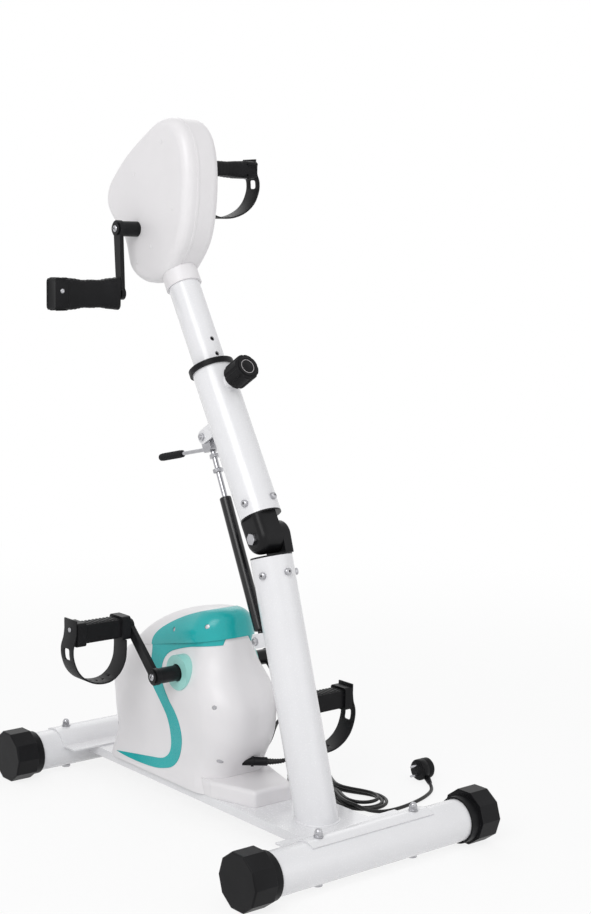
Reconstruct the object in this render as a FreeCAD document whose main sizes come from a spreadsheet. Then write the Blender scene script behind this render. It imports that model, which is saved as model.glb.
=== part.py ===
import FreeCAD, Part
import math
import os
from types import SimpleNamespace

import Sketcher
from FreeCAD import Placement, Rotation, Vector

# Arm and leg pedal exerciser, in millimetres. The origin is on the floor midway between the two
# base tubes. +Z is up, the user sits on the +Y side, the mast stands near the -Y tube, and the
# machine's left side is -X.

os.makedirs("parts", exist_ok=True)
doc = FreeCAD.newDocument("pedal_exerciser")
sheet = doc.addObject("Spreadsheet::Sheet", "Sizes")

DRIVING_SIZES = {
    # base tubes, caps and tray
    "tube_dia": 76.0,
    "tube_wall": 2.0,
    "tube_spacing": 790.0,
    "tube_height": 44.5,
    "front_span": 556.0,
    "rear_span": 490.0,
    "cap_flats": 95.0,
    "cap_length": 45.0,
    "cap_end_wall": 6.0,
    "cap_sleeve_dia": 84.0,
    "cap_sleeve_length": 18.0,
    "cap_rim": 3.0,
    "tray_width": 160.0,
    "tray_top": 56.0,
    "tray_depth": 17.0,
    "tray_end_gap": 42.0,
    "sheet_metal": 3.0,
    "saddle_width": 274.0,
    "saddle_reach": 78.0,
    "saddle_wrap_deg": 32.0,
    "saddle_bolt_x": 108.0,
    "bolt_dia": 8.0,
    "bolt_head_dia": 17.0,
    "bolt_head_height": 4.5,
    "nut_flats": 13.0,
    "nut_height": 6.5,
    # mast
    "mast_foot_y": -265.0,
    "lower_tilt_deg": 17.3,
    "upper_tilt_deg": 30.8,
    "pivot_height": 537.0,
    "mast_wall": 2.5,
    "lower_tube_gap": 36.0,
    "upper_tube_gap": 42.0,
    "upper_tube_length": 299.0,
    "plug_depth": 38.0,
    "shoulder": 3.0,
    "hinge_half": 33.3,
    "hinge_split_x": 12.0,
    "hinge_play": 0.5,
    "dome_radius": 29.5,
    "dome_round": 14.0,
    "cheek_radius": 28.5,
    "cheek_round": 6.0,
    "hinge_pin_dia": 12.0,
    "ring_dia": 86.0,
    "ring_height": 10.0,
    "ring_lip": 3.0,
    "boss_dia": 26.0,
    "boss_reach": 55.0,
    "knob_station": 293.5,
    "knob_dia": 50.0,
    "knob_length": 43.0,
    "knob_groove_dia": 9.0,
    "lock_pin_dia": 8.0,
    "inner_dia": 60.0,
    "inner_wall": 2.5,
    "inner_bottom": 176.0,
    "inner_top": 604.0,
    "hole_pitch": 31.0,
    "hole_dia": 9.0,
    "neck_dia": 68.0,
    "neck_bottom": 512.0,
    "neck_top": 575.0,
    # gas spring
    "lower_pin_station": -179.0,
    "lower_pin_offset": 67.0,
    "upper_pin_station": 233.0,
    "upper_pin_offset": 70.0,
    "spring_pin_dia": 8.0,
    "gas_cylinder_dia": 22.0,
    "gas_cylinder_start": 18.0,
    "gas_cylinder_length": 256.0,
    "gas_rod_dia": 10.0,
    "gas_rod_start": 110.0,
    "gas_bore_start": 66.0,
    "head_length": 42.0,
    "head_width": 24.0,
    "head_slot_play": 3.4,
    "cheek_gap": 26.0,
    "cheek_depth": 26.0,
    "lever_rod_dia": 7.0,
    "lever_rod_length": 92.0,
    "lever_grip_dia": 14.0,
    "lever_grip_length": 76.0,
    "lever_drop_deg": 12.0,
    # arm head
    "head_front_y": 87.0,
    "head_depth": 276.0,
    "head_bottom": 984.0,
    "head_height": 306.0,
    "head_half": 40.0,
    "head_seam_x": -10.0,
    "head_round": 18.0,
    "shell_wall": 3.0,
    "arm_axle_y": 247.0,
    "arm_axle_z": 1083.0,
    "arm_crank_deg": -94.0,
    "arm_boss_length": 37.0,
    "gearbox_length": 88.0,
    "gearbox_depth": 76.0,
    "gearbox_half": 28.0,
    "gearmotor_dia": 54.0,
    "gearmotor_length": 72.0,
    "head_plate": 4.0,
    "head_plate_reach": 70.0,
    # cranks and grips
    "arm_crank_length": 122.0,
    "leg_crank_length": 118.0,
    "crank_thick": 9.0,
    "crank_boss_dia": 32.0,
    "crank_end_dia": 24.0,
    "crank_web": 17.0,
    "axle_dia": 16.0,
    "spindle_dia": 12.0,
    "spacer_length": 6.0,
    "grip_length": 142.0,
    "grip_end_height": 62.0,
    "grip_waist_height": 50.0,
    "grip_end_block": 28.0,
    "grip_flat_width": 34.0,
    # leg drive
    "leg_offset": 10.0,
    "leg_axle_y": 32.0,
    "leg_axle_z": 271.0,
    "leg_crank_deg": 43.0,
    "leg_outer_plane": 136.0,
    "body_half": 82.0,
    "body_front_y": -104.0,
    "body_length": 394.0,
    "body_top_z": 346.0,
    "crown_half": 69.0,
    "crown_height": 62.0,
    "crown_front_z": 342.0,
    "crown_slope_deg": 12.4,
    "hub_ring_dia": 66.0,
    "inlay_proud": 0.9,
    "cover_height": 30.0,
    "cover_front_y": -156.0,
    "cover_half": 44.0,
    "cover_flare_y": -62.0,
    "cover_flare_half": 72.0,
    "cover_round": 8.0,
    "pedal_length": 114.0,
    "pedal_bar": 34.0,
    "pedal_block": 18.0,
    "pedal_block_height": 44.0,
    "strap_width": 40.0,
    "strap_thick": 3.0,
    "strap_drop": 98.0,
    "strap_slot": 18.0,
    "frame_half": 43.0,
    "frame_front_y": -25.0,
    "frame_depth": 265.0,
    "frame_cheek_depth": 118.0,
    "frame_top_z": 294.0,
    "bearing_dia": 32.0,
    "bearing_width": 10.0,
    "pulley_dia": 84.0,
    "pulley_width": 9.0,
    "motor_pulley_dia": 30.0,
    "motor_dia": 66.0,
    "motor_length": 84.0,
    "motor_y": 186.0,
    "motor_z": 148.0,
    "motor_shaft_dia": 10.0,
    "belt_thick": 2.5,
    "board_width": 84.0,
    "board_height": 62.0,
    "board_thick": 1.6,
    # mains cord
    "cord_dia": 7.0,
    "gland_length": 46.0,
    "gland_dia": 16.0,
    "gland_flange_dia": 20.0,
    "gland_flange": 5.0,
    "gland_x": -14.2,
    "gland_y": -66.6,
    "gland_z": 113.0,
    "gland_turn_deg": -40.5,
    "hank_x": 228.0,
    "hank_y": -50.0,
    "hank_z": 4.0,
    "hank_half_run": 80.0,
    "hank_inner_half": 32.0,
    "hank_step": 8.8,
    "hank_layer": 7.7,
    "hank_waist": 27.6,
    "plug_x": 405.0,
    "plug_y": -97.0,
    "plug_dia": 42.0,
    "plug_body_depth": 32.0,
    "plug_pin_dia": 4.8,
    "plug_pin_length": 19.0,
    "plug_pin_spacing": 19.0,
    "relief_dia": 12.0,
    # clearances
    "run_play": 0.05,
    "seat_gap": 0.2,
    "side_gap": 0.3,
    "hole_play": 0.3,
    "overrun": 5.0,
}
for row, (alias, number) in enumerate(DRIVING_SIZES.items(), start=1):
    sheet.set(f"A{row}", alias)
    sheet.set(f"B{row}", str(number))
    sheet.setAlias(f"B{row}", alias)
doc.recompute()
d = SimpleNamespace(**{alias: float(sheet.get(alias)) for alias in DRIVING_SIZES})

ZERO = Vector(0, 0, 0)
X_AXIS = Vector(1, 0, 0)
Y_AXIS = Vector(0, 1, 0)
Z_AXIS = Vector(0, 0, 1)
ALONG_Z = Rotation()
ALONG_X = Rotation(Y_AXIS, 90)
ALONG_Y = Rotation(X_AXIS, -90)
LEFT, RIGHT = -1, 1
SIDE_NAMES = {LEFT: "left", RIGHT: "right"}

nodes = {}


def keep(node, obj, placement=None):
    """Register a finished sub-part under its node name."""
    obj.Label = node
    if placement is not None:
        obj.Placement = placement
    nodes[node] = obj
    return obj


def keep_shape(node, shape, placement=None):
    """Register a sub-part whose shape is made with Part's own functions."""
    feature = doc.addObject("Part::Feature", node + "_solid")
    feature.Shape = shape
    return keep(node, feature, placement)


def primitive(kind, name, at=ZERO, turn=ALONG_Z, **bound):
    """Add a Part primitive whose properties are bound to cells of the sheet."""
    obj = doc.addObject(kind, name)
    for prop, text in bound.items():
        obj.setExpression(prop, text)
    obj.Placement = Placement(at, turn)
    return obj


def cylinder(name, radius, length, at=ZERO, turn=ALONG_Z):
    return primitive("Part::Cylinder", name, at, turn, Radius=radius, Height=length)


def block(name, width, depth, height, at=ZERO, turn=ALONG_Z):
    return primitive("Part::Box", name, at, turn, Length=width, Width=depth, Height=height)


def cut(name, base, tool):
    obj = doc.addObject("Part::Cut", name)
    obj.Base = base
    obj.Tool = tool
    return obj


def fuse(name, *pieces):
    obj = doc.addObject("Part::MultiFuse", name)
    obj.Shapes = list(pieces)
    return obj


def group(node, pieces):
    """Keep several like pieces under one node name."""
    obj = doc.addObject("Part::Compound", node + "_group")
    obj.Links = pieces
    return keep(node, obj)


def design_body(name, role):
    """A PartDesign body with one sketch on the named origin plane."""
    body = doc.addObject("PartDesign::Body", name)
    return body, design_sketch(body, name + "_profile", role)


def design_sketch(body, name, role):
    sketch = body.newObject("Sketcher::SketchObject", name)
    plane = next(item for item in body.Origin.OriginFeatures if item.Role == role)
    sketch.AttachmentSupport = [(plane, "")]
    sketch.MapMode = "FlatFace"
    return sketch


def sketch_rectangle(sketch, left, bottom, width, height):
    """A fully constrained rectangle; the four sizes are expressions on the sheet."""
    corners = [Vector(0, 0, 0), Vector(1, 0, 0), Vector(1, 1, 0), Vector(0, 1, 0)]
    first = sketch.GeometryCount
    for start, end in zip(corners, corners[1:] + corners[:1]):
        sketch.addGeometry(Part.LineSegment(start, end), False)
    lines = [first + step for step in range(len(corners))]
    for here, after in zip(lines, lines[1:] + lines[:1]):
        sketch.addConstraint(Sketcher.Constraint("Coincident", here, 2, after, 1))
    for line in (lines[0], lines[2]):
        sketch.addConstraint(Sketcher.Constraint("Horizontal", line))
    for line in (lines[1], lines[3]):
        sketch.addConstraint(Sketcher.Constraint("Vertical", line))
    bound = [
        (Sketcher.Constraint("DistanceX", -1, 1, lines[0], 1, 0.0), left),
        (Sketcher.Constraint("DistanceY", -1, 1, lines[0], 1, 0.0), bottom),
        (Sketcher.Constraint("DistanceX", lines[0], 1, lines[0], 2, 1.0), width),
        (Sketcher.Constraint("DistanceY", lines[1], 1, lines[1], 2, 1.0), height),
    ]
    for constraint, text in bound:
        number = sketch.addConstraint(constraint)
        sketch.setExpression(f"Constraints[{number}]", text)


def sketch_circle(sketch, across, up, radius):
    """A circle placed and sized by expressions on the sheet."""
    circle = sketch.addGeometry(Part.Circle(Vector(1, 1, 0), Z_AXIS, 1), False)
    bound = [
        (Sketcher.Constraint("DistanceX", -1, 1, circle, 3, 1.0), across),
        (Sketcher.Constraint("DistanceY", -1, 1, circle, 3, 1.0), up),
        (Sketcher.Constraint("Radius", circle, 1.0), radius),
    ]
    for constraint, text in bound:
        number = sketch.addConstraint(constraint)
        sketch.setExpression(f"Constraints[{number}]", text)


def pad(body, sketch, length):
    """Pad a sketch by the same amount to both sides of its plane."""
    feature = body.newObject("PartDesign::Pad", sketch.Name + "_pad")
    feature.Profile = sketch
    feature.SideType = "Symmetric"
    feature.setExpression("Length", length)
    return feature


def pocket(body, sketch, length):
    """Cut a sketch by the same amount to both sides of its plane."""
    feature = body.newObject("PartDesign::Pocket", sketch.Name + "_pocket")
    feature.Profile = sketch
    feature.SideType = "Symmetric"
    feature.setExpression("Length", length)
    return feature


def rod(radius, start, end):
    """A round bar between two points."""
    return Part.makeCylinder(radius, (end - start).Length, start, end - start)


def hexagon(flats, height, at, along):
    """A hexagonal prism standing on a point."""
    corner = flats / 2 / math.cos(math.radians(30))
    turn = Rotation(Z_AXIS, along)
    ring = [turn.multVec(Vector(corner * math.cos(math.radians(60 * side)),
                                corner * math.sin(math.radians(60 * side)), 0)) + at
            for side in range(7)]
    return Part.Face(Part.makePolygon(ring)).extrude(Vector(along).normalize() * height)


def polar(centre, radius, degrees):
    """A point on a circle in the YZ plane, the angle taken from +Y towards +Z."""
    angle = math.radians(degrees)
    return centre + Vector(0, radius * math.cos(angle), radius * math.sin(angle))


def rounded_section(z, y_low, y_high, half, corner):
    """A level closed wire, straight on four sides with round corners."""
    r = min(corner, half, (y_high - y_low) / 2) * 0.999
    wire = []
    centres = [(half - r, y_high - r, 0), (-half + r, y_high - r, 90),
               (-half + r, y_low + r, 180), (half - r, y_low + r, 270)]
    arcs = []
    for cx, cy, start in centres:
        points = [Vector(cx + r * math.cos(math.radians(start + step)),
                         cy + r * math.sin(math.radians(start + step)), z) for step in (0, 45, 90)]
        arcs.append(points)
    for here, after in zip(arcs, arcs[1:] + arcs[:1]):
        wire.append(Part.Arc(*here).toShape())
        wire.append(Part.LineSegment(here[-1], after[0]).toShape())
    return Part.Wire(wire)


# Frames of the tilted mast parts, both with their origin on the hinge pin. Their Z axis runs up
# the tube and their Y axis points square to it, to the user's side.

rise = d.pivot_height - d.tray_top
pivot = Vector(0, d.mast_foot_y + rise * math.tan(math.radians(d.lower_tilt_deg)), d.pivot_height)
lower_frame = Placement(pivot, Rotation(X_AXIS, -d.lower_tilt_deg))
upper_frame = Placement(pivot, Rotation(X_AXIS, -d.upper_tilt_deg))
tube_radius = d.tube_dia / 2
half_spacing = d.tube_spacing / 2


def make_base_tubes():
    """The two round tubes that stand on the floor through their caps."""
    tubes = []
    for node, y, span in (("front_tube", -half_spacing, "front_span"),
                          ("rear_tube", half_spacing, "rear_span")):
        length = f"Sizes.{span} - 2 * Sizes.cap_end_wall"
        half = (getattr(d, span) - 2 * d.cap_end_wall) / 2
        wall = cylinder(node + "_wall", "Sizes.tube_dia / 2", length, Vector(-half, 0, 0), ALONG_X)
        bore = cylinder(node + "_bore", "Sizes.tube_dia / 2 - Sizes.tube_wall",
                        length + " + 2 * Sizes.overrun", Vector(-half - d.overrun, 0, 0), ALONG_X)
        holes = [cylinder(f"{node}_hole_{SIDE_NAMES[side]}", "Sizes.bolt_dia / 2 + Sizes.hole_play",
                          "Sizes.tube_dia + 2 * Sizes.overrun",
                          Vector(side * d.saddle_bolt_x, 0, -tube_radius - d.overrun))
                 for side in (LEFT, RIGHT)]
        tube = cut(node + "_cut", wall, fuse(node + "_voids", bore, *holes))
        tube.Placement = Placement(Vector(0, y, d.tube_height), ALONG_Z)
        tubes.append(tube)
    group("base_tubes", tubes)


def make_end_caps():
    """Ten-sided moulded caps with a round sleeve over each tube end; a flat rests on the floor."""
    outside = d.cap_flats / 2 / math.cos(math.radians(18))
    drop = d.cap_flats / 2 - d.tube_height
    caps = []
    for y, span in ((-half_spacing, d.front_span), (half_spacing, d.rear_span)):
        for side in (LEFT, RIGHT):
            body = Part.Face(Part.makePolygon([polar(ZERO, outside, 36 * step) for step in range(11)]))
            body = body.extrude(Vector(d.cap_length, 0, 0))
            rim = [edge for edge in body.Edges if edge.CenterOfMass.x > d.cap_length * 0.999]
            body = body.makeFillet(d.cap_rim, rim)
            body.translate(Vector(-d.cap_length, 0, drop))
            sleeve = Part.makeCylinder(d.cap_sleeve_dia / 2, d.cap_sleeve_length + d.cap_rim,
                                       Vector(-d.cap_length - d.cap_sleeve_length, 0, 0), X_AXIS)
            reach = d.cap_length + d.cap_sleeve_length - d.cap_end_wall
            bore = Part.makeCylinder(tube_radius + d.seat_gap, reach + d.overrun,
                                     Vector(-d.cap_end_wall - reach - d.overrun, 0, 0), X_AXIS)
            cap = body.fuse(sleeve).cut(bore)
            if side == LEFT:
                cap = cap.mirror(ZERO, X_AXIS)
            cap.translate(Vector(side * span / 2, y, d.tube_height))
            caps.append(cap)
    keep_shape("end_caps", Part.makeCompound(caps))


def make_tray():
    """A folded channel between the tubes, open below."""
    body, outline = design_body("tray_body", "XZ_Plane")
    sketch_rectangle(outline, "-Sizes.tray_width / 2", "-Sizes.tray_depth", "Sizes.tray_width",
                     "Sizes.tray_depth")
    length = "Sizes.tube_spacing - 2 * Sizes.tray_end_gap"
    pad(body, outline, length)
    hollow = design_sketch(body, "tray_hollow", "XZ_Plane")
    sketch_rectangle(hollow, "-Sizes.tray_width / 2 + Sizes.sheet_metal", "-Sizes.tray_depth - Sizes.overrun",
                     "Sizes.tray_width - 2 * Sizes.sheet_metal",
                     "Sizes.tray_depth + Sizes.overrun - Sizes.sheet_metal")
    pocket(body, hollow, length + " + 2 * Sizes.overrun")
    keep("base_tray", body, Placement(Vector(0, 0, d.tray_top), ALONG_Z))


def make_saddles():
    """Bent plates that wrap over each tube and lie flat on the tray's ends."""
    inner = tube_radius + d.seat_gap
    outer = inner + d.sheet_metal
    low = d.tray_top - d.tube_height + d.seat_gap
    high = low + d.sheet_metal
    wrap = 90 + d.saddle_wrap_deg
    plates = []
    inner_turn = math.degrees(math.asin(low / inner))
    outer_turn = math.degrees(math.asin(high / outer))
    for node, facing, y in (("front_saddle", 1, -half_spacing), ("rear_saddle", -1, half_spacing)):
        body, profile = design_body(node + "_body", "YZ_Plane")

        def at(radius, degrees):
            angle = math.radians(degrees)
            return Vector(facing * radius * math.cos(angle), radius * math.sin(angle), 0)

        inner_mid = (inner_turn + wrap) / 2
        outer_mid = (outer_turn + wrap) / 2
        reach_low = Vector(facing * d.saddle_reach, low, 0)
        reach_high = Vector(facing * d.saddle_reach, high, 0)
        profile.addGeometry(Part.Arc(at(inner, wrap), at(inner, inner_mid), at(inner, inner_turn)), False)
        profile.addGeometry(Part.LineSegment(at(inner, inner_turn), reach_low), False)
        profile.addGeometry(Part.LineSegment(reach_low, reach_high), False)
        profile.addGeometry(Part.LineSegment(reach_high, at(outer, outer_turn)), False)
        profile.addGeometry(Part.Arc(at(outer, outer_turn), at(outer, outer_mid), at(outer, wrap)), False)
        profile.addGeometry(Part.LineSegment(at(outer, wrap), at(inner, wrap)), False)
        pad(body, profile, "Sizes.saddle_width")
        holes = design_sketch(body, node + "_holes", "XY_Plane")
        for sign in ("-", ""):
            sketch_circle(holes, f"{sign}Sizes.saddle_bolt_x", "0", "Sizes.bolt_dia / 2 + Sizes.hole_play")
        pocket(body, holes, "2 * Sizes.tube_dia")
        body.Placement = Placement(Vector(0, y, d.tube_height), ALONG_Z)
        plates.append(body)
    group("saddles", plates)


def make_base_bolts():
    """A bolt and a dome nut at each saddle hole, and the bolts of the lower mast."""
    top = tube_radius + d.seat_gap + d.sheet_metal
    solids = []
    for y in (-half_spacing, half_spacing):
        for side in (LEFT, RIGHT):
            axis = Vector(side * d.saddle_bolt_x, y, d.tube_height)
            head_top = axis + Vector(0, 0, -tube_radius - d.seat_gap)
            head = Part.makeCylinder(d.bolt_head_dia / 2, d.bolt_head_height, head_top, -Z_AXIS)
            nut_base = axis + Vector(0, 0, top + d.seat_gap)
            washer = Part.makeCylinder(d.bolt_head_dia / 2, d.bolt_head_height / 2, nut_base)
            nut = hexagon(d.nut_flats, d.nut_height, nut_base + Vector(0, 0, d.bolt_head_height / 2), Z_AXIS)
            dome_base = nut_base + Vector(0, 0, d.bolt_head_height / 2 + d.nut_height)
            dome = Part.makeSphere(d.nut_flats / 2 - d.side_gap, dome_base)
            shank = rod(d.bolt_dia / 2, head_top, nut_base + Vector(0, 0, d.nut_height))
            solids.append(head.fuse([shank, washer, nut, dome]).removeSplitter())
    for station, angle_deg in LOWER_BOLTS:
        solid = tube_bolt(station, angle_deg, tube_radius)
        solid.Placement = lower_frame
        solids.append(solid)
    keep_shape("base_bolts", Part.makeCompound(solids))


def make_lower_mast():
    """The leaning tube welded on the tray, cut level at its foot."""
    run = rise / math.cos(math.radians(d.lower_tilt_deg))
    extra = d.tube_dia
    wall = cylinder("lower_mast_wall", "Sizes.tube_dia / 2", "Sizes.tube_dia", Vector(0, 0, -run - extra))
    bore = cylinder("lower_mast_bore", "Sizes.tube_dia / 2 - Sizes.mast_wall", "Sizes.tube_dia",
                    Vector(0, 0, -run - extra - d.overrun))
    run_text = "(Sizes.pivot_height - Sizes.tray_top) / cos(Sizes.lower_tilt_deg * 1 deg)"
    wall.setExpression("Height", f"{run_text} + Sizes.tube_dia - Sizes.lower_tube_gap")
    bore.setExpression("Height", f"{run_text} + Sizes.tube_dia + 2 * Sizes.overrun")
    voids = fuse("lower_mast_voids", bore, *bolt_holes("lower_mast_bolt_hole", LOWER_BOLTS))
    pipe = cut("lower_mast_pipe", wall, voids)
    pipe.Placement = lower_frame
    ground = block("lower_mast_ground", "4 * Sizes.tube_dia", "4 * Sizes.tube_dia", "4 * Sizes.tube_dia",
                   Vector(-2 * d.tube_dia, d.mast_foot_y - 2 * d.tube_dia, d.tray_top - 4 * d.tube_dia))
    keep("lower_mast", cut("lower_mast_cut", pipe, ground))


def hinge_eye(start_x, end_x, radius, height, corner):
    """A round eye on the hinge pin with the web to its collar, rounded on its outer side."""
    outer_x = start_x if start_x < 0 else end_x
    eye = Part.makeCylinder(radius, end_x - start_x, Vector(start_x, 0, 0), X_AXIS)
    rim = [edge for edge in eye.Edges
           if isinstance(edge.Curve, Part.Circle) and abs(edge.CenterOfMass.x - outer_x) < d.run_play]
    web = Part.makeBox(end_x - start_x, 2 * radius, abs(height), Vector(start_x, -radius, min(height, 0)))
    uprights = [edge for edge in web.Edges
                if abs(edge.tangentAt(0).z) > 0.9 and abs(edge.CenterOfMass.x - outer_x) < d.run_play]
    return eye.makeFillet(corner, rim).fuse(web.makeFillet(corner, uprights))


def make_hinge():
    """A single cheek on the lower mast and a domed casting on the upper mast, both on one pin."""
    plug_radius = tube_radius - d.mast_wall - d.seat_gap
    bore = rod(d.hinge_pin_dia / 2 + d.run_play, X_AXIS * -2 * d.hinge_half, X_AXIS * 2 * d.hinge_half)
    for node, start_x, end_x, radius, gap, corner, side, frame in (
            ("hinge_tongue", d.hinge_split_x + d.hinge_play, d.hinge_half, d.cheek_radius,
             d.lower_tube_gap, d.cheek_round, -1, lower_frame),
            ("hinge_fork", -d.hinge_half, d.hinge_split_x, d.dome_radius,
             d.upper_tube_gap, d.dome_round, 1, upper_frame)):
        web_height = side * (gap - d.shoulder + d.seat_gap)
        eye = hinge_eye(start_x, end_x, radius, web_height, corner)
        collar = rod(tube_radius, Z_AXIS * side * (gap - d.shoulder), Z_AXIS * side * gap)
        plug = rod(plug_radius, Z_AXIS * side * (gap - d.shoulder), Z_AXIS * side * (gap + d.plug_depth))
        keep_shape(node, eye.fuse([collar, plug]).removeSplitter().cut(bore), frame)

    outside = d.hinge_half + d.seat_gap
    pin = rod(d.hinge_pin_dia / 2, Vector(-outside, 0, 0), Vector(outside, 0, 0))
    head = hexagon(d.hinge_pin_dia * 1.6, d.nut_height, Vector(-outside, 0, 0), -X_AXIS)
    nut = hexagon(d.hinge_pin_dia * 1.6, d.nut_height, Vector(outside, 0, 0), X_AXIS)
    keep_shape("hinge_bolt", pin.fuse([head, nut]), upper_frame)


def tube_bolt(station, angle_deg, radius):
    """A button-head bolt through a tube wall, pointing square to the tube."""
    out = Vector(math.cos(math.radians(angle_deg)), math.sin(math.radians(angle_deg)), 0)
    seat = out * (radius + d.seat_gap / 2) + Vector(0, 0, station)
    inner = seat - out * (d.mast_wall + d.seat_gap)
    head = Part.makeCylinder(d.nut_flats / 2, d.bolt_head_height, seat, out)
    return head.fuse(rod(d.bolt_dia / 2, inner, seat))


def bolt_holes(name, stations_and_angles):
    """Cylinders that clear the bolts of a tube."""
    tools = []
    for number, (station, angle_deg) in enumerate(stations_and_angles):
        out = Vector(math.cos(math.radians(angle_deg)), math.sin(math.radians(angle_deg)), 0)
        at = out * (tube_radius - 2 * d.mast_wall) + Vector(0, 0, station)
        tools.append(cylinder(f"{name}_{number}", "Sizes.bolt_dia / 2 + Sizes.seat_gap",
                              "4 * Sizes.mast_wall", at, Rotation(Z_AXIS, out)))
    return tools


def make_upper_mast():
    """The outer tube above the hinge with the boss that carries the lock knob."""
    wall = cylinder("upper_mast_wall", "Sizes.tube_dia / 2", "Sizes.upper_tube_length",
                    Vector(0, 0, d.upper_tube_gap))
    boss = cylinder("upper_mast_boss", "Sizes.boss_dia / 2", "Sizes.boss_reach",
                    Vector(0, 0, d.knob_station), Rotation(X_AXIS, 90))
    bore = cylinder("upper_mast_bore", "Sizes.tube_dia / 2 - Sizes.mast_wall",
                    "Sizes.upper_tube_length + 2 * Sizes.overrun", Vector(0, 0, d.upper_tube_gap - d.overrun))
    pin_hole = cylinder("upper_mast_pin_hole", "Sizes.lock_pin_dia / 2 + Sizes.run_play",
                        "Sizes.boss_reach + Sizes.overrun", Vector(0, 0, d.knob_station), Rotation(X_AXIS, 90))
    voids = fuse("upper_mast_voids", bore, pin_hole, *bolt_holes("upper_mast_bolt_hole", UPPER_BOLTS))
    keep("upper_mast", cut("upper_mast_cut", fuse("upper_mast_solid", wall, boss), voids), upper_frame)
    bolts = [tube_bolt(station, angle, tube_radius) for station, angle in UPPER_BOLTS]
    keep_shape("mast_bolts", Part.makeCompound(bolts), upper_frame)


def make_collar_ring():
    """The black guide ring that closes the gap at the top of the upper tube."""
    top = d.upper_tube_gap + d.upper_tube_length
    skirt = cylinder("ring_skirt", "Sizes.ring_dia / 2", "Sizes.ring_height",
                     Vector(0, 0, top - d.ring_height + d.ring_lip))
    seat = cylinder("ring_seat", "Sizes.tube_dia / 2 + Sizes.seat_gap", "Sizes.ring_height",
                    Vector(0, 0, top - d.ring_height + d.seat_gap))
    sleeve = cylinder("ring_sleeve", "Sizes.tube_dia / 2 - Sizes.mast_wall - Sizes.seat_gap",
                      "2 * Sizes.ring_height", Vector(0, 0, top - 2 * d.ring_height + d.seat_gap))
    bore = cylinder("ring_bore", "Sizes.inner_dia / 2 + Sizes.side_gap", "4 * Sizes.ring_height",
                    Vector(0, 0, top - 3 * d.ring_height))
    ring = cut("ring_cut", fuse("ring_solid", cut("ring_cap", skirt, seat), sleeve), bore)
    keep("collar_ring", ring, upper_frame)


def make_lock_knob():
    """A lobed knob with its pin; the pin's nose stops just short of the inner tube."""
    station = Vector(0, 0, d.knob_station)
    knob_start = d.boss_reach + d.side_gap
    knob = Part.makeCylinder(d.knob_dia / 2, d.knob_length, station - Y_AXIS * knob_start, -Y_AXIS)
    rim = [edge for edge in knob.Edges if isinstance(edge.Curve, Part.Circle)]
    knob = knob.makeFillet(d.cap_rim, rim)
    grooves = []
    for step in range(8):
        angle = math.radians(45 * step)
        centre = Vector(math.cos(angle), 0, math.sin(angle)) * (d.knob_dia / 2 + d.knob_groove_dia / 4)
        grooves.append(Part.makeCylinder(d.knob_groove_dia / 2, d.knob_length + 2 * d.overrun,
                                         station + centre - Vector(0, knob_start - d.overrun, 0), -Y_AXIS))
    nose = d.inner_dia / 2 + d.side_gap
    pin = rod(d.lock_pin_dia / 2, station - Y_AXIS * nose, station - Y_AXIS * (knob_start + d.overrun))
    keep_shape("lock_knob", knob.cut(grooves).fuse(pin), upper_frame)


def make_inner_mast():
    """The sliding tube with its row of height holes, and the neck moulding below the arm head."""
    wall = cylinder("inner_wall", "Sizes.inner_dia / 2", "Sizes.inner_top - Sizes.inner_bottom",
                    Vector(0, 0, d.inner_bottom))
    bore = cylinder("inner_bore", "Sizes.inner_dia / 2 - Sizes.inner_wall",
                    "Sizes.inner_top - Sizes.inner_bottom + 2 * Sizes.overrun",
                    Vector(0, 0, d.inner_bottom - d.overrun))
    holes = [cylinder(f"height_hole_{step + 3}", "Sizes.hole_dia / 2", "Sizes.inner_dia / 2 + Sizes.overrun",
                      Vector(0, 0, d.knob_station + step * d.hole_pitch), Rotation(X_AXIS, 90))
             for step in range(-3, 4)]
    pipe = cut("inner_mast_cut", wall, fuse("inner_voids", bore, *holes))
    plate = block("head_plate", "2 * Sizes.gearbox_half", "Sizes.inner_dia / 2 + Sizes.head_plate_reach",
                  "Sizes.head_plate", Vector(-d.gearbox_half, -d.inner_dia / 2, d.inner_top))
    keep("inner_mast", fuse("inner_mast_solid", pipe, plate), upper_frame)

    sleeve = cylinder("neck_sleeve", "Sizes.neck_dia / 2", "Sizes.neck_top - Sizes.neck_bottom",
                      Vector(0, 0, d.neck_bottom))
    neck_bore = cylinder("neck_bore", "Sizes.inner_dia / 2 + Sizes.seat_gap",
                         "Sizes.neck_top - Sizes.neck_bottom + 2 * Sizes.overrun",
                         Vector(0, 0, d.neck_bottom - d.overrun))
    keep("mast_neck", cut("neck_cut", sleeve, neck_bore), upper_frame)


lower_pin = lower_frame.multVec(Vector(0, d.lower_pin_offset, d.lower_pin_station))
upper_pin = upper_frame.multVec(Vector(0, d.upper_pin_offset, d.upper_pin_station))
spring_line = upper_pin - lower_pin
spring_tilt_deg = math.degrees(math.atan2(spring_line.y, spring_line.z))
spring_frame = Placement(lower_pin, Rotation(X_AXIS, -spring_tilt_deg))
spring_length = spring_line.Length


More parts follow.
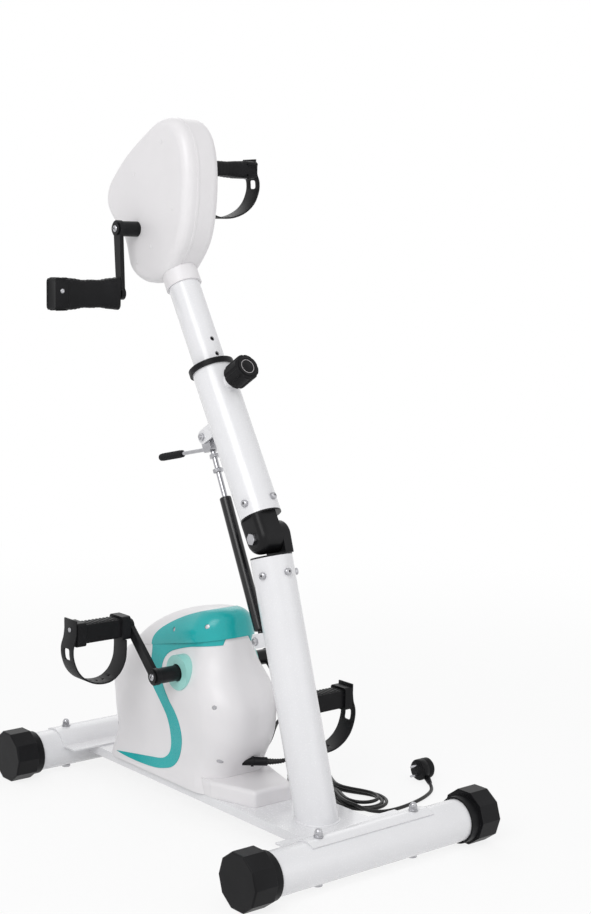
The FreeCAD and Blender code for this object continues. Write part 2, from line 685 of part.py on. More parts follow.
def spring_bracket(offset, station):
    """Two cheeks and a back plate on the tube, in the tube's frame, with the pin's holes."""
    cheek = d.sheet_metal
    inside = d.cheek_gap / 2
    start = math.sqrt(tube_radius ** 2 - (inside + cheek) ** 2)
    half = d.cheek_depth / 2
    plates = []
    for side in (LEFT, RIGHT):
        x = inside if side == RIGHT else -inside - cheek
        plate = Part.makeBox(cheek, offset - start, d.cheek_depth, Vector(x, start, station - half))
        plates.append(plate.fuse(Part.makeCylinder(half, cheek, Vector(x, offset, station), X_AXIS)))
    back_start = tube_radius + d.seat_gap
    back = Part.makeBox(2 * inside + cheek, cheek, d.cheek_depth,
                        Vector(-inside - cheek / 2, back_start, station - half))
    tube = Part.makeCylinder(tube_radius + d.seat_gap, 4 * d.cheek_depth,
                             Vector(0, 0, station - 2 * d.cheek_depth))
    hole = Part.makeCylinder(d.spring_pin_dia / 2 + d.run_play, 2 * d.cheek_gap,
                             Vector(-d.cheek_gap, offset, station), X_AXIS)
    return plates[0].fuse([plates[1], back]).cut([tube, hole]).removeSplitter()


def bracket_pin(offset, station):
    """The cross pin of a bracket with a head and a nut outside the cheeks."""
    outside = d.cheek_gap / 2 + d.sheet_metal + d.seat_gap
    centre = Vector(0, offset, station)
    pin = rod(d.spring_pin_dia / 2, centre - X_AXIS * outside, centre + X_AXIS * outside)
    ends = [hexagon(d.nut_flats, d.bolt_head_height, centre + X_AXIS * side * outside, X_AXIS * side)
            for side in (LEFT, RIGHT)]
    return pin.fuse(ends)


def make_gas_spring():
    """Cylinder on the lower pin, rod and release head on the upper pin, and the release lever."""
    for node, offset, station, frame in (
            ("spring_bracket_lower", d.lower_pin_offset, d.lower_pin_station, lower_frame),
            ("spring_bracket_upper", d.upper_pin_offset, d.upper_pin_station, upper_frame)):
        pair = [spring_bracket(offset, station), bracket_pin(offset, station)]
        keep_shape(node, Part.makeCompound(pair), frame)

    eye_width = d.cheek_gap - 2 * d.seat_gap - 2 * d.side_gap
    eye = Part.makeCylinder(d.gas_cylinder_dia / 2, eye_width, Vector(-eye_width / 2, 0, 0), X_AXIS)
    eye_bore = Part.makeCylinder(d.spring_pin_dia / 2 + d.run_play, 2 * d.cheek_gap,
                                 Vector(-d.cheek_gap, 0, 0), X_AXIS)
    neck = rod(d.gas_rod_dia / 2, Vector(0, 0, 0), Vector(0, 0, d.gas_cylinder_start + d.overrun))
    top = d.gas_cylinder_start + d.gas_cylinder_length
    barrel = rod(d.gas_cylinder_dia / 2, Vector(0, 0, d.gas_cylinder_start), Vector(0, 0, top))
    ends = [edge for edge in barrel.Edges if isinstance(edge.Curve, Part.Circle)]
    barrel = barrel.makeFillet(d.sheet_metal, ends)
    rod_bore = rod(d.gas_rod_dia / 2 + d.run_play, Vector(0, 0, d.gas_bore_start),
                   Vector(0, 0, top + d.overrun))
    keep_shape("gas_cylinder", barrel.fuse([eye, neck]).cut([rod_bore, eye_bore]), spring_frame)

    head_bottom = spring_length - d.head_length + d.cheek_depth / 2
    shaft = rod(d.gas_rod_dia / 2, Vector(0, 0, d.gas_rod_start), Vector(0, 0, head_bottom - d.seat_gap))
    nut = hexagon(d.gas_rod_dia * 1.7, d.nut_height, Vector(0, 0, head_bottom - d.nut_height * 2), Z_AXIS)
    keep_shape("gas_rod", shaft.fuse(nut), spring_frame)

    half = d.head_width / 2
    body = Part.makeBox(eye_width, d.head_width, d.head_length, Vector(-eye_width / 2, -half, head_bottom))
    body = body.makeFillet(d.gas_rod_dia / 2, along_x_edges(body))
    pin_slot = Part.makeCylinder(d.spring_pin_dia / 2 + d.head_slot_play, 2 * d.cheek_gap,
                                 Vector(-d.cheek_gap, 0, spring_length), X_AXIS)
    lever_centre = Vector(0, half - d.overrun, head_bottom + d.lever_rod_dia)
    lever_slot = Part.makeBox(d.lever_rod_dia + 2 * d.side_gap, d.head_width,
                              d.lever_rod_dia * 2 + 2 * d.side_gap,
                              Vector(-d.lever_rod_dia / 2 - d.side_gap, 0,
                                     lever_centre.z - d.lever_rod_dia - d.side_gap))
    keep_shape("release_head", body.cut([pin_slot, lever_slot]), spring_frame)

    pivot_at = spring_frame.multVec(lever_centre)
    down = math.radians(d.lever_drop_deg)
    out = Vector(0, math.cos(down), -math.sin(down))
    bar = rod(d.lever_rod_dia / 2, pivot_at, pivot_at + out * d.lever_rod_length)
    knuckle = Part.makeCylinder(d.lever_rod_dia / 2 + d.seat_gap, d.lever_rod_dia,
                                pivot_at - X_AXIS * d.lever_rod_dia / 2, X_AXIS)
    grip_start = pivot_at + out * (d.lever_rod_length - d.overrun)
    grip = rod(d.lever_grip_dia / 2, grip_start, grip_start + out * d.lever_grip_length)
    rims = [edge for edge in grip.Edges if isinstance(edge.Curve, Part.Circle)]
    grip = grip.makeFillet(d.lever_grip_dia / 4, rims)
    keep_shape("release_lever", bar.fuse([knuckle, grip]))


UPPER_BOLTS = [(d.upper_tube_gap + d.plug_depth * 0.58, turn) for turn in (200, 285)]
LOWER_BOLTS = [(-d.lower_tube_gap - d.plug_depth * 0.84, turn) for turn in (200, 270, 340)]

# Outline of the arm head seen from its side: shares of its depth from the front and of its height
# from the bottom, anticlockwise from the neck.
HEAD_OUTLINE_SHARES = [
    (0.40, 0.000), (0.57, 0.012), (0.69, 0.085), (0.745, 0.215), (0.875, 0.355), (0.985, 0.480),
    (0.975, 0.580), (0.890, 0.680), (0.745, 0.790), (0.500, 0.925), (0.330, 0.990), (0.200, 0.985),
    (0.080, 0.905), (0.015, 0.760), (0.000, 0.600), (0.020, 0.400), (0.075, 0.240), (0.190, 0.105),
    (0.300, 0.025),
]


def head_solid(inset):
    """The arm head's outer form, or its hollow when inset by the wall."""
    depth = d.head_depth - 2 * inset
    height = d.head_height - 2 * inset
    half = d.head_half - inset
    points = [Vector(-half, d.head_front_y + inset + depth * u, d.head_bottom + inset + height * v)
              for u, v in HEAD_OUTLINE_SHARES]
    curve = Part.BSplineCurve()
    curve.interpolate(Points=points, PeriodicFlag=True)
    solid = Part.Face(Part.Wire(curve.toShape())).extrude(Vector(2 * half, 0, 0))
    rims = [edge for edge in solid.Edges if abs(abs(edge.CenterOfMass.x) - half) < half * 0.001]
    return solid.makeFillet(d.head_round - inset, rims)


def make_arm_head():
    """Two moulded shells that meet at the seam and close round the neck."""
    shell = head_solid(0).cut(head_solid(d.shell_wall))
    neck = Part.makeCylinder(d.neck_dia / 2 + d.seat_gap, d.neck_top, ZERO)
    neck.Placement = upper_frame
    hole_radius = d.axle_dia / 2 + d.side_gap + d.run_play
    axle_hole = Part.makeCylinder(hole_radius, 4 * d.head_half,
                                  Vector(-2 * d.head_half, d.arm_axle_y, d.arm_axle_z), X_AXIS)
    shell = shell.cut([neck, axle_hole])
    big = d.head_height * 2
    for side in (LEFT, RIGHT):
        x = d.head_seam_x if side == RIGHT else d.head_seam_x - big
        corner = Vector(x, d.head_front_y - d.head_depth / 2, d.head_bottom - d.head_height / 2)
        half_space = Part.makeBox(big, big, big, corner)
        keep_shape(f"arm_shell_{SIDE_NAMES[side]}", shell.common(half_space))


ARM_SCREW_SHARES = [(0.42, 0.215), (0.585, 0.115), (0.16, 0.45), (0.62, 0.66), (0.30, 0.85)]


def make_arm_screws():
    """Screws through the left shell into posts of the right shell."""
    solids = []
    for u, v in ARM_SCREW_SHARES:
        face = Vector(-d.head_half, d.head_front_y + d.head_depth * u, d.head_bottom + d.head_height * v)
        head = Part.makeCylinder(d.bolt_dia / 2, d.sheet_metal / 4, face, -X_AXIS)
        solids.append(head)
    keep_shape("arm_screws", Part.makeCompound(solids))


def crank(side, outer_x, inner_x, length, axis, angle_deg):
    """A crank arm: long hub boss, tapering web and a round end for the spindle."""
    web_x = outer_x - d.crank_thick
    end = polar(ZERO, length, angle_deg)
    hub = Part.makeCylinder(d.crank_boss_dia / 2, d.crank_thick, Vector(web_x, 0, 0), X_AXIS)
    boss = Part.makeCylinder(d.crank_boss_dia / 2 - d.sheet_metal / 2, web_x - inner_x,
                             Vector(inner_x, 0, 0), X_AXIS)
    tip = Part.makeCylinder(d.crank_end_dia / 2, d.crank_thick, Vector(web_x, end.y, end.z), X_AXIS)
    along = Vector(end).normalize()
    aside = X_AXIS.cross(along)
    near, far = d.crank_web * 0.6, d.crank_web / 2
    corners = [aside * near, end + aside * far, end - aside * far, -aside * near, aside * near]
    web = Part.Face(Part.makePolygon(corners)).extrude(Vector(d.crank_thick, 0, 0))
    web.translate(Vector(web_x, 0, 0))
    hub_bore = Part.makeCylinder(d.axle_dia / 2 + d.seat_gap / 2, outer_x - inner_x + 2 * d.overrun,
                                 Vector(inner_x - d.overrun, 0, 0), X_AXIS)
    tip_bore = Part.makeCylinder(d.spindle_dia / 2 + d.seat_gap / 2, 3 * d.crank_thick,
                                 Vector(web_x - d.crank_thick, end.y, end.z), X_AXIS)
    shape = hub.fuse([boss, tip, web]).removeSplitter().cut([hub_bore, tip_bore])
    if side == LEFT:
        shape = shape.mirror(ZERO, X_AXIS)
    shape.translate(axis)
    return shape


def crank_hardware(side, outer_x, length, axis, angle_deg, spindle_length):
    """The cap nut on the axle's end, and the spindle and its spacer at the crank's tip."""
    end = polar(ZERO, length, angle_deg)
    cap = Part.makeCylinder(d.crank_end_dia / 2, d.sheet_metal, Vector(outer_x + d.seat_gap, 0, 0), X_AXIS)
    spindle = rod(d.spindle_dia / 2, Vector(outer_x - d.crank_thick, end.y, end.z),
                  Vector(outer_x + d.spacer_length + spindle_length, end.y, end.z))
    spacer = Part.makeCylinder(d.crank_end_dia / 2 - d.sheet_metal, d.spacer_length - d.side_gap,
                               Vector(outer_x + d.seat_gap / 2, end.y, end.z), X_AXIS)
    shapes = [cap, spindle.fuse(spacer)]
    if side == LEFT:
        shapes = [shape.mirror(ZERO, X_AXIS) for shape in shapes]
    for shape in shapes:
        shape.translate(axis)
    return shapes


arm_axis = Vector(0, d.arm_axle_y, d.arm_axle_z)
leg_axis = Vector(-d.leg_offset, d.leg_axle_y, d.leg_axle_z)
arm_inner = d.head_half + d.side_gap
arm_outer = arm_inner + d.arm_boss_length + d.crank_thick
leg_inner = d.body_half - d.shell_wall
leg_outer = d.leg_outer_plane


def make_cranks(prefix, axis, outer_x, inner_x, length, left_angle, spindle_length):
    """Axle, two opposite cranks and their nuts and spindles."""
    hardware = []
    for side in (LEFT, RIGHT):
        angle = left_angle if side == LEFT else left_angle + 180
        keep_shape(f"{prefix}_crank_{SIDE_NAMES[side]}", crank(side, outer_x, inner_x, length, axis, angle))
        hardware += crank_hardware(side, outer_x, length, axis, angle, spindle_length)
    keep_shape(f"{prefix}_crank_bolts", Part.makeCompound(hardware))
    keep_shape(f"{prefix}_axle", rod(d.axle_dia / 2, axis - X_AXIS * outer_x, axis + X_AXIS * outer_x))


def along_x_edges(shape):
    return [edge for edge in shape.Edges if abs(edge.tangentAt(edge.FirstParameter).x) > 0.9]


def grip_shape(side):
    """A waisted hand grip along +X from its inner face, with a square end block."""
    body_length = d.grip_length - d.grip_end_block
    end, waist = d.grip_end_height / 2, d.grip_waist_height / 2
    profile = Part.Wire([
        Part.LineSegment(Vector(0, 0, 0), Vector(0, 0, end)).toShape(),
        Part.Arc(Vector(0, 0, end), Vector(body_length / 2, 0, waist), Vector(body_length, 0, end)).toShape(),
        Part.LineSegment(Vector(body_length, 0, end), Vector(body_length, 0, 0)).toShape(),
        Part.LineSegment(Vector(body_length, 0, 0), Vector(0, 0, 0)).toShape(),
    ])
    body = Part.Face(profile).revolve(ZERO, X_AXIS, 360)
    slab = Part.makeBox(d.grip_length, d.grip_flat_width, d.grip_end_height,
                        Vector(0, -d.grip_flat_width / 2, -end))
    body = body.common(slab.makeFillet(d.cover_round, along_x_edges(slab)))
    end_block = Part.makeBox(d.grip_end_block, d.grip_flat_width, d.grip_end_height * 0.94,
                             Vector(body_length, -d.grip_flat_width / 2, -end * 0.94))
    end_block = end_block.makeFillet(d.cover_round, along_x_edges(end_block))
    bore = Part.makeCylinder(d.spindle_dia / 2 + d.run_play, body_length + d.overrun * 2,
                             Vector(-d.overrun, 0, 0), X_AXIS)
    shape = body.fuse(end_block).cut(bore)
    return shape if side == RIGHT else shape.mirror(ZERO, X_AXIS)


# Middle line of a strap seen from the front: shares of the length that it spans and of its drop,
# from the outer face's foot round below to the inner end's underside.
STRAP_SHARES = [
    (1.035, -0.08), (1.078, -0.24), (1.070, -0.44), (0.990, -0.68), (0.840, -0.86), (0.620, -0.97),
    (0.380, -0.97), (0.200, -0.84), (0.100, -0.63), (0.075, -0.42),
]


def strap_band(length, half_height):
    """A moulded strap from the outer face, round below and up to the inner end."""
    half = d.strap_thick / 2
    outer_x = length + d.side_gap + half
    line = [Vector(outer_x, 0, half_height * share) for share in (1.25, 0.8, 0.35)]
    line += [Vector(length * u, 0, d.strap_drop * v) for u, v in STRAP_SHARES]
    line.append(Vector(length * STRAP_SHARES[-1][0], 0, -half_height - d.side_gap))
    inside, outside = [], []
    last = len(line) - 1
    for number, point in enumerate(line):
        run = line[min(number + 1, last)] - line[max(number - 1, 0)]
        normal = Vector(-run.z, 0, run.x).normalize()
        inside.append(point + normal * half)
        outside.append(point - normal * half)
    curves = []
    for side_points in (inside, outside):
        curve = Part.BSplineCurve()
        curve.interpolate(Points=side_points)
        curves.append(curve.toShape())
    wire = Part.Wire([curves[0], Part.LineSegment(inside[-1], outside[-1]).toShape(), curves[1],
                      Part.LineSegment(outside[0], inside[0]).toShape()])
    band = Part.Face(wire).extrude(Vector(0, d.strap_width, 0))
    band.translate(Vector(0, -d.strap_width / 2, 0))
    slot = Part.makeBox(length, d.strap_slot, half_height,
                        Vector(length, -d.strap_slot / 2, -half_height * 2.15))
    return band.cut(slot.makeFillet(half, along_x_edges(slot)))


def make_arm_grips():
    """A turning grip on each arm spindle, the right one lying flat with a hand strap."""
    start = arm_outer + d.spacer_length
    for side in (LEFT, RIGHT):
        angle = d.arm_crank_deg if side == LEFT else d.arm_crank_deg + 180
        centre = polar(arm_axis, d.arm_crank_length, angle)
        roll = ALONG_Z if side == LEFT else Rotation(X_AXIS, 90)
        keep_shape(f"arm_grip_{SIDE_NAMES[side]}", grip_shape(side),
                   Placement(centre + X_AXIS * side * start, roll))
    centre = polar(arm_axis, d.arm_crank_length, d.arm_crank_deg + 180)
    keep_shape("arm_strap_right", strap_band(d.grip_length, d.grip_flat_width / 2),
               Placement(centre + X_AXIS * start, ALONG_Z))


def pedal_shape():
    """A bar pedal along +X from its inner face: two blocks joined by a thick bar."""
    half_height = d.pedal_block_height / 2
    pieces = []
    for start in (0, d.pedal_length - d.pedal_block):
        piece = Part.makeBox(d.pedal_block, d.pedal_block_height, d.pedal_block_height,
                             Vector(start, -half_height, -half_height))
        pieces.append(piece.makeFillet(d.cap_rim * 2, along_x_edges(piece)))
    bar = Part.makeBox(d.pedal_length - d.pedal_block, d.pedal_bar, d.pedal_bar,
                       Vector(d.pedal_block / 2, -d.pedal_bar / 2, -d.pedal_bar / 2))
    bore = Part.makeCylinder(d.spindle_dia / 2 + d.run_play, d.pedal_length - d.pedal_block + d.overrun,
                             Vector(-d.overrun, 0, 0), X_AXIS)
    return pieces[0].fuse([pieces[1], bar.makeFillet(d.cap_rim, along_x_edges(bar))]).cut(bore)


def make_leg_pedals():
    """A pedal on each leg spindle with its foot strap hanging below."""
    start = leg_outer + d.spacer_length
    for side in (LEFT, RIGHT):
        angle = d.leg_crank_deg if side == LEFT else d.leg_crank_deg + 180
        centre = polar(leg_axis, d.leg_crank_length, angle) + X_AXIS * side * start
        pedal = pedal_shape()
        strap = strap_band(d.pedal_length, d.pedal_block_height / 2)
        if side == LEFT:
            pedal = pedal.mirror(ZERO, X_AXIS)
            strap = strap.mirror(ZERO, X_AXIS)
        keep_shape(f"leg_pedal_{SIDE_NAMES[side]}", pedal, Placement(centre, ALONG_Z))
        keep_shape(f"leg_strap_{SIDE_NAMES[side]}", strap, Placement(centre, ALONG_Z))


# Level sections of the leg housing: height, front and back as shares of its height above the tray
# and of its length, half width as a share of the widest, corner as a share of the half width.
BODY_SECTION_SHARES = [
    (0.00, 0.110, 0.985, 0.965, 0.55), (0.07, 0.112, 0.980, 0.940, 0.60), (0.20, 0.074, 0.975, 0.890, 0.75),
    (0.33, 0.020, 0.990, 0.925, 0.80), (0.45, 0.000, 1.000, 0.965, 0.85), (0.60, 0.012, 0.995, 1.000, 0.85),
    (0.72, 0.068, 0.935, 0.930, 0.88), (0.85, 0.125, 0.875, 0.780, 0.92), (1.00, 0.157, 0.800, 0.720, 0.92),
]
# Sections of the crown above its sloping foot, in the same manner.
CROWN_SECTION_SHARES = [
    (0.00, 0.000, 0.865, 0.930, 0.92), (0.24, 0.000, 0.790, 0.950, 0.92), (0.50, 0.000, 0.700, 0.880, 0.92),
    (0.79, 0.030, 0.560, 0.670, 0.92), (0.94, 0.105, 0.440, 0.430, 0.92), (1.00, 0.185, 0.350, 0.200, 0.92),
]


def stacked_solid(shares, height, y_start, length, half, inset):
    """A smooth solid through level rounded sections; inset shrinks it all round."""
    wires = []
    for level, front, back, wide, corner in shares:
        half_here = half * wide - inset
        wires.append(rounded_section(height * level, y_start + length * front + inset,
                                     y_start + length * back - inset, half_here, half_here * corner))
    return Part.makeLoft(wires, True, False)


body_height = d.body_top_z - d.tray_top
crown_front_y = d.body_front_y + d.body_length * BODY_SECTION_SHARES[-1][1] - 2 * d.sheet_metal
crown_foot = Vector(-d.leg_offset, crown_front_y, d.crown_front_z)
crown_length = d.body_length * 0.89
crown_frame = Placement(crown_foot, Rotation(X_AXIS, -d.crown_slope_deg))


def crown_solid(inset):
    """The crown's outer form, or its hollow when inset by the wall."""
    solid = stacked_solid(CROWN_SECTION_SHARES, d.crown_height - inset, 0, crown_length, d.crown_half, inset)
    solid.Placement = crown_frame
    return solid


def body_solid(inset):
    """The leg housing's lower form, or its hollow, up to the foot of the crown."""
    solid = stacked_solid(BODY_SECTION_SHARES, body_height, d.body_front_y, d.body_length, d.body_half, inset)
    solid.translate(Vector(-d.leg_offset, 0, d.tray_top + d.seat_gap))
    big = 2 * d.body_length
    above = Part.makeBox(big, big, big, Vector(-big / 2, -big / 2, -d.seat_gap - max(inset, 0)))
    above.Placement = crown_frame
    return solid.cut(above)


def leg_bore(radius):
    """A round bar on the leg axle's line, longer than the housing is wide."""
    return Part.makeCylinder(radius, 4 * d.body_half, leg_axis - X_AXIS * 2 * d.body_half, X_AXIS)


hub_hole_radius = d.crank_boss_dia / 2 + d.side_gap


def gland_frame():
    """The mains gland's own frame, its Z axis pointing out of the housing."""
    aim = Rotation(Z_AXIS, d.gland_turn_deg).multVec(X_AXIS)
    return Placement(Vector(d.gland_x, d.gland_y, d.gland_z), Rotation(Z_AXIS, aim))


def body_shell():
    """The hollow lower housing with its open foot and the holes for the axle and the gland."""
    level, front, back, wide, corner = BODY_SECTION_SHARES[0]
    half_here = d.body_half * wide - d.shell_wall
    y_low = d.body_front_y + d.body_length * front + d.shell_wall
    y_high = d.body_front_y + d.body_length * back - d.shell_wall
    section = rounded_section(d.tray_top - d.shell_wall, y_low, y_high, half_here, half_here * corner)
    foot = Part.Face(section).extrude(Vector(0, 0, d.shell_wall * 3))
    foot.translate(Vector(-d.leg_offset, 0, 0))
    gland_hole = Part.makeCylinder(d.gland_dia / 2 + d.seat_gap, d.gland_length, ZERO)
    gland_hole.Placement = gland_frame()
    return body_solid(0).cut([body_solid(d.shell_wall), foot, leg_bore(hub_hole_radius), gland_hole])


# The stripe seen from the side, in shares of the housing's length from its front and of its height
# above the tray: its rear edge down to the tip, its front edge back up and on below the crown, and
# a line that lies above the crown's foot.
STRIPE_SHARES = [
    [(0.626, 0.880), (0.592, 0.762), (0.563, 0.641), (0.537, 0.589), (0.506, 0.545), (0.472, 0.489),
     (0.444, 0.437), (0.425, 0.376), (0.418, 0.310), (0.420, 0.242), (0.435, 0.180), (0.475, 0.135),
     (0.539, 0.113), (0.639, 0.094), (0.758, 0.071), (0.871, 0.049)],
    [(0.871, 0.049), (0.789, 0.040), (0.702, 0.038), (0.599, 0.042), (0.515, 0.053), (0.450, 0.074),
     (0.397, 0.104), (0.363, 0.155), (0.341, 0.229), (0.330, 0.300), (0.333, 0.366), (0.347, 0.422),
     (0.377, 0.485), (0.410, 0.535), (0.442, 0.591), (0.468, 0.641), (0.488, 0.700), (0.498, 0.755),
     (0.490, 0.800), (0.462, 0.838), (0.410, 0.868), (0.340, 0.898), (0.260, 0.922), (0.160, 0.944)],
    [(0.160, 1.200), (0.626, 1.200)],
]
# The crown's coloured side in the same shares: its lower edge from the front and its upper edge
# back to the front.
CROWN_INLAY_SHARES = [
    [(0.003, 0.962), (0.195, 0.931), (0.338, 0.897), (0.442, 0.859), (0.533, 0.797), (0.581, 0.755)],
    [(0.622, 0.825), (0.596, 0.910), (0.523, 0.995), (0.406, 1.080), (0.231, 1.160), (0.021, 1.225)],
]


def side_prism(edges, side):
    """The space beside the housing between smooth edges seen from the side, joined at their ends."""
    foot = Vector(-d.leg_offset, d.body_front_y, d.tray_top)
    lines = [[foot + Vector(0, d.body_length * u, body_height * v) for u, v in shares] for shares in edges]
    pieces = []
    for line, after in zip(lines, lines[1:] + lines[:1]):
        curve = Part.BSplineCurve()
        curve.interpolate(Points=line)
        pieces.append(curve.toShape())
        if (after[0] - line[-1]).Length > d.run_play:
            pieces.append(Part.LineSegment(line[-1], after[0]).toShape())
    return Part.Face(Part.Wire(pieces)).extrude(X_AXIS * side * 2 * d.body_half)


# Places of the housing's screws seen from the side, as shares of its length and height.
CROWN_SCREW_SHARES = [(0.44, 0.990), (0.215, 1.060)]
BODY_SCREW_SHARES = [(0.09, 0.585), (0.10, 0.225), (0.90, 0.585), (0.90, 0.225)]


def wall_plugs(shares, outer, hollow, radius):
    """Round pieces through both side walls at the given places."""
    bars = []
    for u, v in shares:
        place = Vector(-d.leg_offset - 2 * d.body_half, d.body_front_y + d.body_length * u,
                       d.tray_top + body_height * v)
        bars.append(Part.makeCylinder(radius, 4 * d.body_half, place, X_AXIS))
    return outer.cut(hollow).common(Part.makeCompound(bars))


def make_leg_housing():
    """Two white shells, the crown over them, coloured inlays, hub rings and the screws."""
    screw_radius = d.bolt_dia / 2
    body, crown = body_solid(0), crown_solid(0)
    body_hollow, crown_hollow = body_solid(d.shell_wall), crown_solid(d.shell_wall)
    screws = wall_plugs(BODY_SCREW_SHARES, body, body_hollow, screw_radius).Solids
    screws += wall_plugs(CROWN_SCREW_SHARES, crown, crown_hollow, screw_radius).Solids
    keep_shape("shell_screws", Part.makeCompound(screws))
    room = screw_radius + d.seat_gap / 2
    body_room = wall_plugs(BODY_SCREW_SHARES, body_solid(-d.shell_wall), body_solid(2 * d.shell_wall), room)
    crown_room = wall_plugs(CROWN_SCREW_SHARES, crown_solid(-d.shell_wall),
                            crown_solid(2 * d.shell_wall), room)

    shell = body_shell().cut(body_room)
    big = 2 * d.body_length
    for side in (LEFT, RIGHT):
        x = -d.leg_offset if side == RIGHT else -d.leg_offset - big
        half_space = Part.makeBox(big, big, big, Vector(x, -big / 2, 0))
        keep_shape(f"leg_shell_{SIDE_NAMES[side]}", shell.common(half_space))
    keep_shape("crown_cover", crown.cut([crown_hollow, crown_room]))

    body_skin = body_solid(-d.inlay_proud).cut(body_solid(-d.run_play))
    crown_skin = crown_solid(-d.inlay_proud).cut(crown_solid(-d.run_play))
    hub_zone = leg_bore(d.hub_ring_dia / 2 + d.seat_gap)
    stripes, sides, rings = [], [], []
    for side in (LEFT, RIGHT):
        stripe = body_skin.common(side_prism(STRIPE_SHARES, side)).cut([hub_zone, body_room]).Solids
        crown_side = crown_skin.common(side_prism(CROWN_INLAY_SHARES, side)).cut(crown_room).Solids
        if not stripe or not crown_side:
            raise RuntimeError("a coloured inlay has no solid")
        stripes += stripe
        sides += crown_side
        ring = Part.makeCylinder(d.hub_ring_dia / 2, d.body_half + d.inlay_proud * 2, leg_axis, X_AXIS * side)
        rings += ring.cut([body_solid(-d.seat_gap / 2), leg_bore(hub_hole_radius)]).Solids
    keep_shape("teal_inlays", Part.makeCompound(stripes + sides))
    keep_shape("hub_rings", Part.makeCompound(rings))


def make_terminal_cover():
    """The low cover on the tray between the housing and the mast, hollow below."""
    base = d.tray_top + d.seat_gap

    def form(inset):
        narrow, wide = d.cover_half - inset, d.cover_flare_half - inset
        front, flare = d.cover_front_y + inset, d.cover_flare_y + inset / 2
        half_outline = [(narrow, front), (wide, flare), (wide, 0)]
        corners = [Vector(x, y, base) for x, y in half_outline]
        corners += [Vector(-x, y, base) for x, y in reversed(half_outline)]
        outline = Part.Face(Part.makePolygon(corners + corners[:1]))
        solid = outline.extrude(Vector(0, 0, d.cover_height - inset))
        edges = [edge for edge in solid.Edges
                 if edge.CenterOfMass.z > base + d.seat_gap and edge.CenterOfMass.y < flare + d.seat_gap]
        return solid.makeFillet(d.cover_round - inset, edges)

    cover = form(0).cut(form(d.shell_wall))
    cover.translate(Vector(-d.leg_offset, 0, 0))
    keep_shape("terminal_cover", cover.cut(body_solid(-d.seat_gap)))


